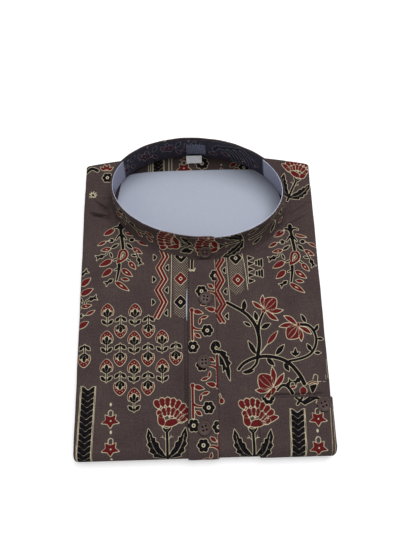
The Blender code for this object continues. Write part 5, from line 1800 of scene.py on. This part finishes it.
def alongLine(surface, rows, columns, count=400):
    row, column = np.linspace(*rows, count), np.linspace(*columns, count)
    return wayOut(*(surface(row, column, out)[0] for out in (0.0, stitch["lift"])))


def onBand(rise, start=-3.0, end=373.5, side=1):
    angle = np.radians(np.linspace(start, end, 1200))
    outs = (side * (collar["wall"] / 2 + lift) for lift in (0.0, stitch["lift"]))
    return wayOut(*(bandPoint(angle, rise, out) for out in outs))


def neckless(line):               # the parts of a line outside the neck
    points, outs = line
    shown = outsideNeck(points, stitch["neckClear"])
    edges = np.flatnonzero(np.diff(shown.astype(int))) + 1
    for part in np.split(np.arange(len(points)), edges):
        if len(part) > stitch["fewest"] and shown[part[0]]:
            yield points[part], outs[part]


sew("placketStitches", [alongLine(placketSurface, (0.002, 1), columns) for columns in stitch["placket"]])
reach = stitch["yokeTo"]
yokeLines = [alongLine(yokeSurface, (low, low), (-reach, reach), 900) for low in stitch["yoke"]]
sew("yokeStitches", [part for line in yokeLines for part in neckless(line)][:2])
low, high = collar["seams"]
sew("bandStitches", (onBand(low), onBand(high), onBand(high, *strip["angles"], side=-1)))
mouth, *mouthColumns = stitch["pocketMouth"]
sew("pocketStitches", (alongLine(pocketSurface, (0.004, 1), stitch["pocketSide"]),
                       alongLine(pocketSurface, [mouth / pocketDepth] * 2, mouthColumns)))
print("stitches sewn")


# Light and camera
light = {
    "floor": (250, 250, 251), "floorSize": 6.0, "glow": 0.3, "fill": 0.36,
    "keyAt": (0.24, 0.42, 1.22), "keySize": 0.8, "keyPower": 12.2,
    "sideAt": (-0.75, -0.35, 0.8), "sideSize": 0.9, "sidePower": 1.0,
}
shot = {"elevation": 76.9, "yaw": 1.7, "at": (0.0047, -0.079, 0.4447), "lens": 27.0, "sensor": 36.0,
        "nearest": 0.01}


def makeFloor():
    white = srgb(*light["floor"])
    made, _ = startMaterial("paperWhite", Base_Color=white, Roughness=0.95, Specular_IOR_Level=0.0,
                            Emission_Color=white, Emission_Strength=light["glow"])
    bpy.ops.mesh.primitive_plane_add(size=light["floorSize"], location=(0, 0, 0))
    floor = bpy.context.object
    floor.name = "stageFloor"
    floor.data.materials.append(made)


def addLamp(name):
    lamp = bpy.data.lights.new(name, "AREA")
    lamp.size, lamp.energy = light[name + "Size"], light[name + "Power"]
    made = addToScene(name, lamp)
    made.location = light[name + "At"]
    made.rotation_euler = (-made.location).to_track_quat("-Z", "Y").to_euler()


makeFloor()
addLamp("key")
addLamp("side")
world = bpy.data.worlds.new("fill")
bpy.context.scene.world = world
world.use_nodes = True
backdrop = world.node_tree.nodes["Background"]
backdrop.inputs["Color"].default_value = (1.0, 1.0, 1.0, 1.0)
backdrop.inputs["Strength"].default_value = light["fill"]
bpy.context.scene.view_settings.view_transform = "Standard"

elevation, yaw = (math.radians(shot[k]) for k in ("elevation", "yaw"))
level = math.cos(elevation)
forward = Vector((level * math.sin(yaw), level * math.cos(yaw), -math.sin(elevation)))
right = Vector((math.cos(yaw), -math.sin(yaw), 0))
lens = bpy.data.cameras.new("camera")
lens.lens, lens.sensor_width, lens.clip_start = shot["lens"], shot["sensor"], shot["nearest"]
camera = addToScene("camera", lens)
turned = Matrix((right, right.cross(forward), -forward)).transposed().to_4x4()
camera.matrix_world = Matrix.Translation(shot["at"]) @ turned
bpy.context.scene.camera = camera
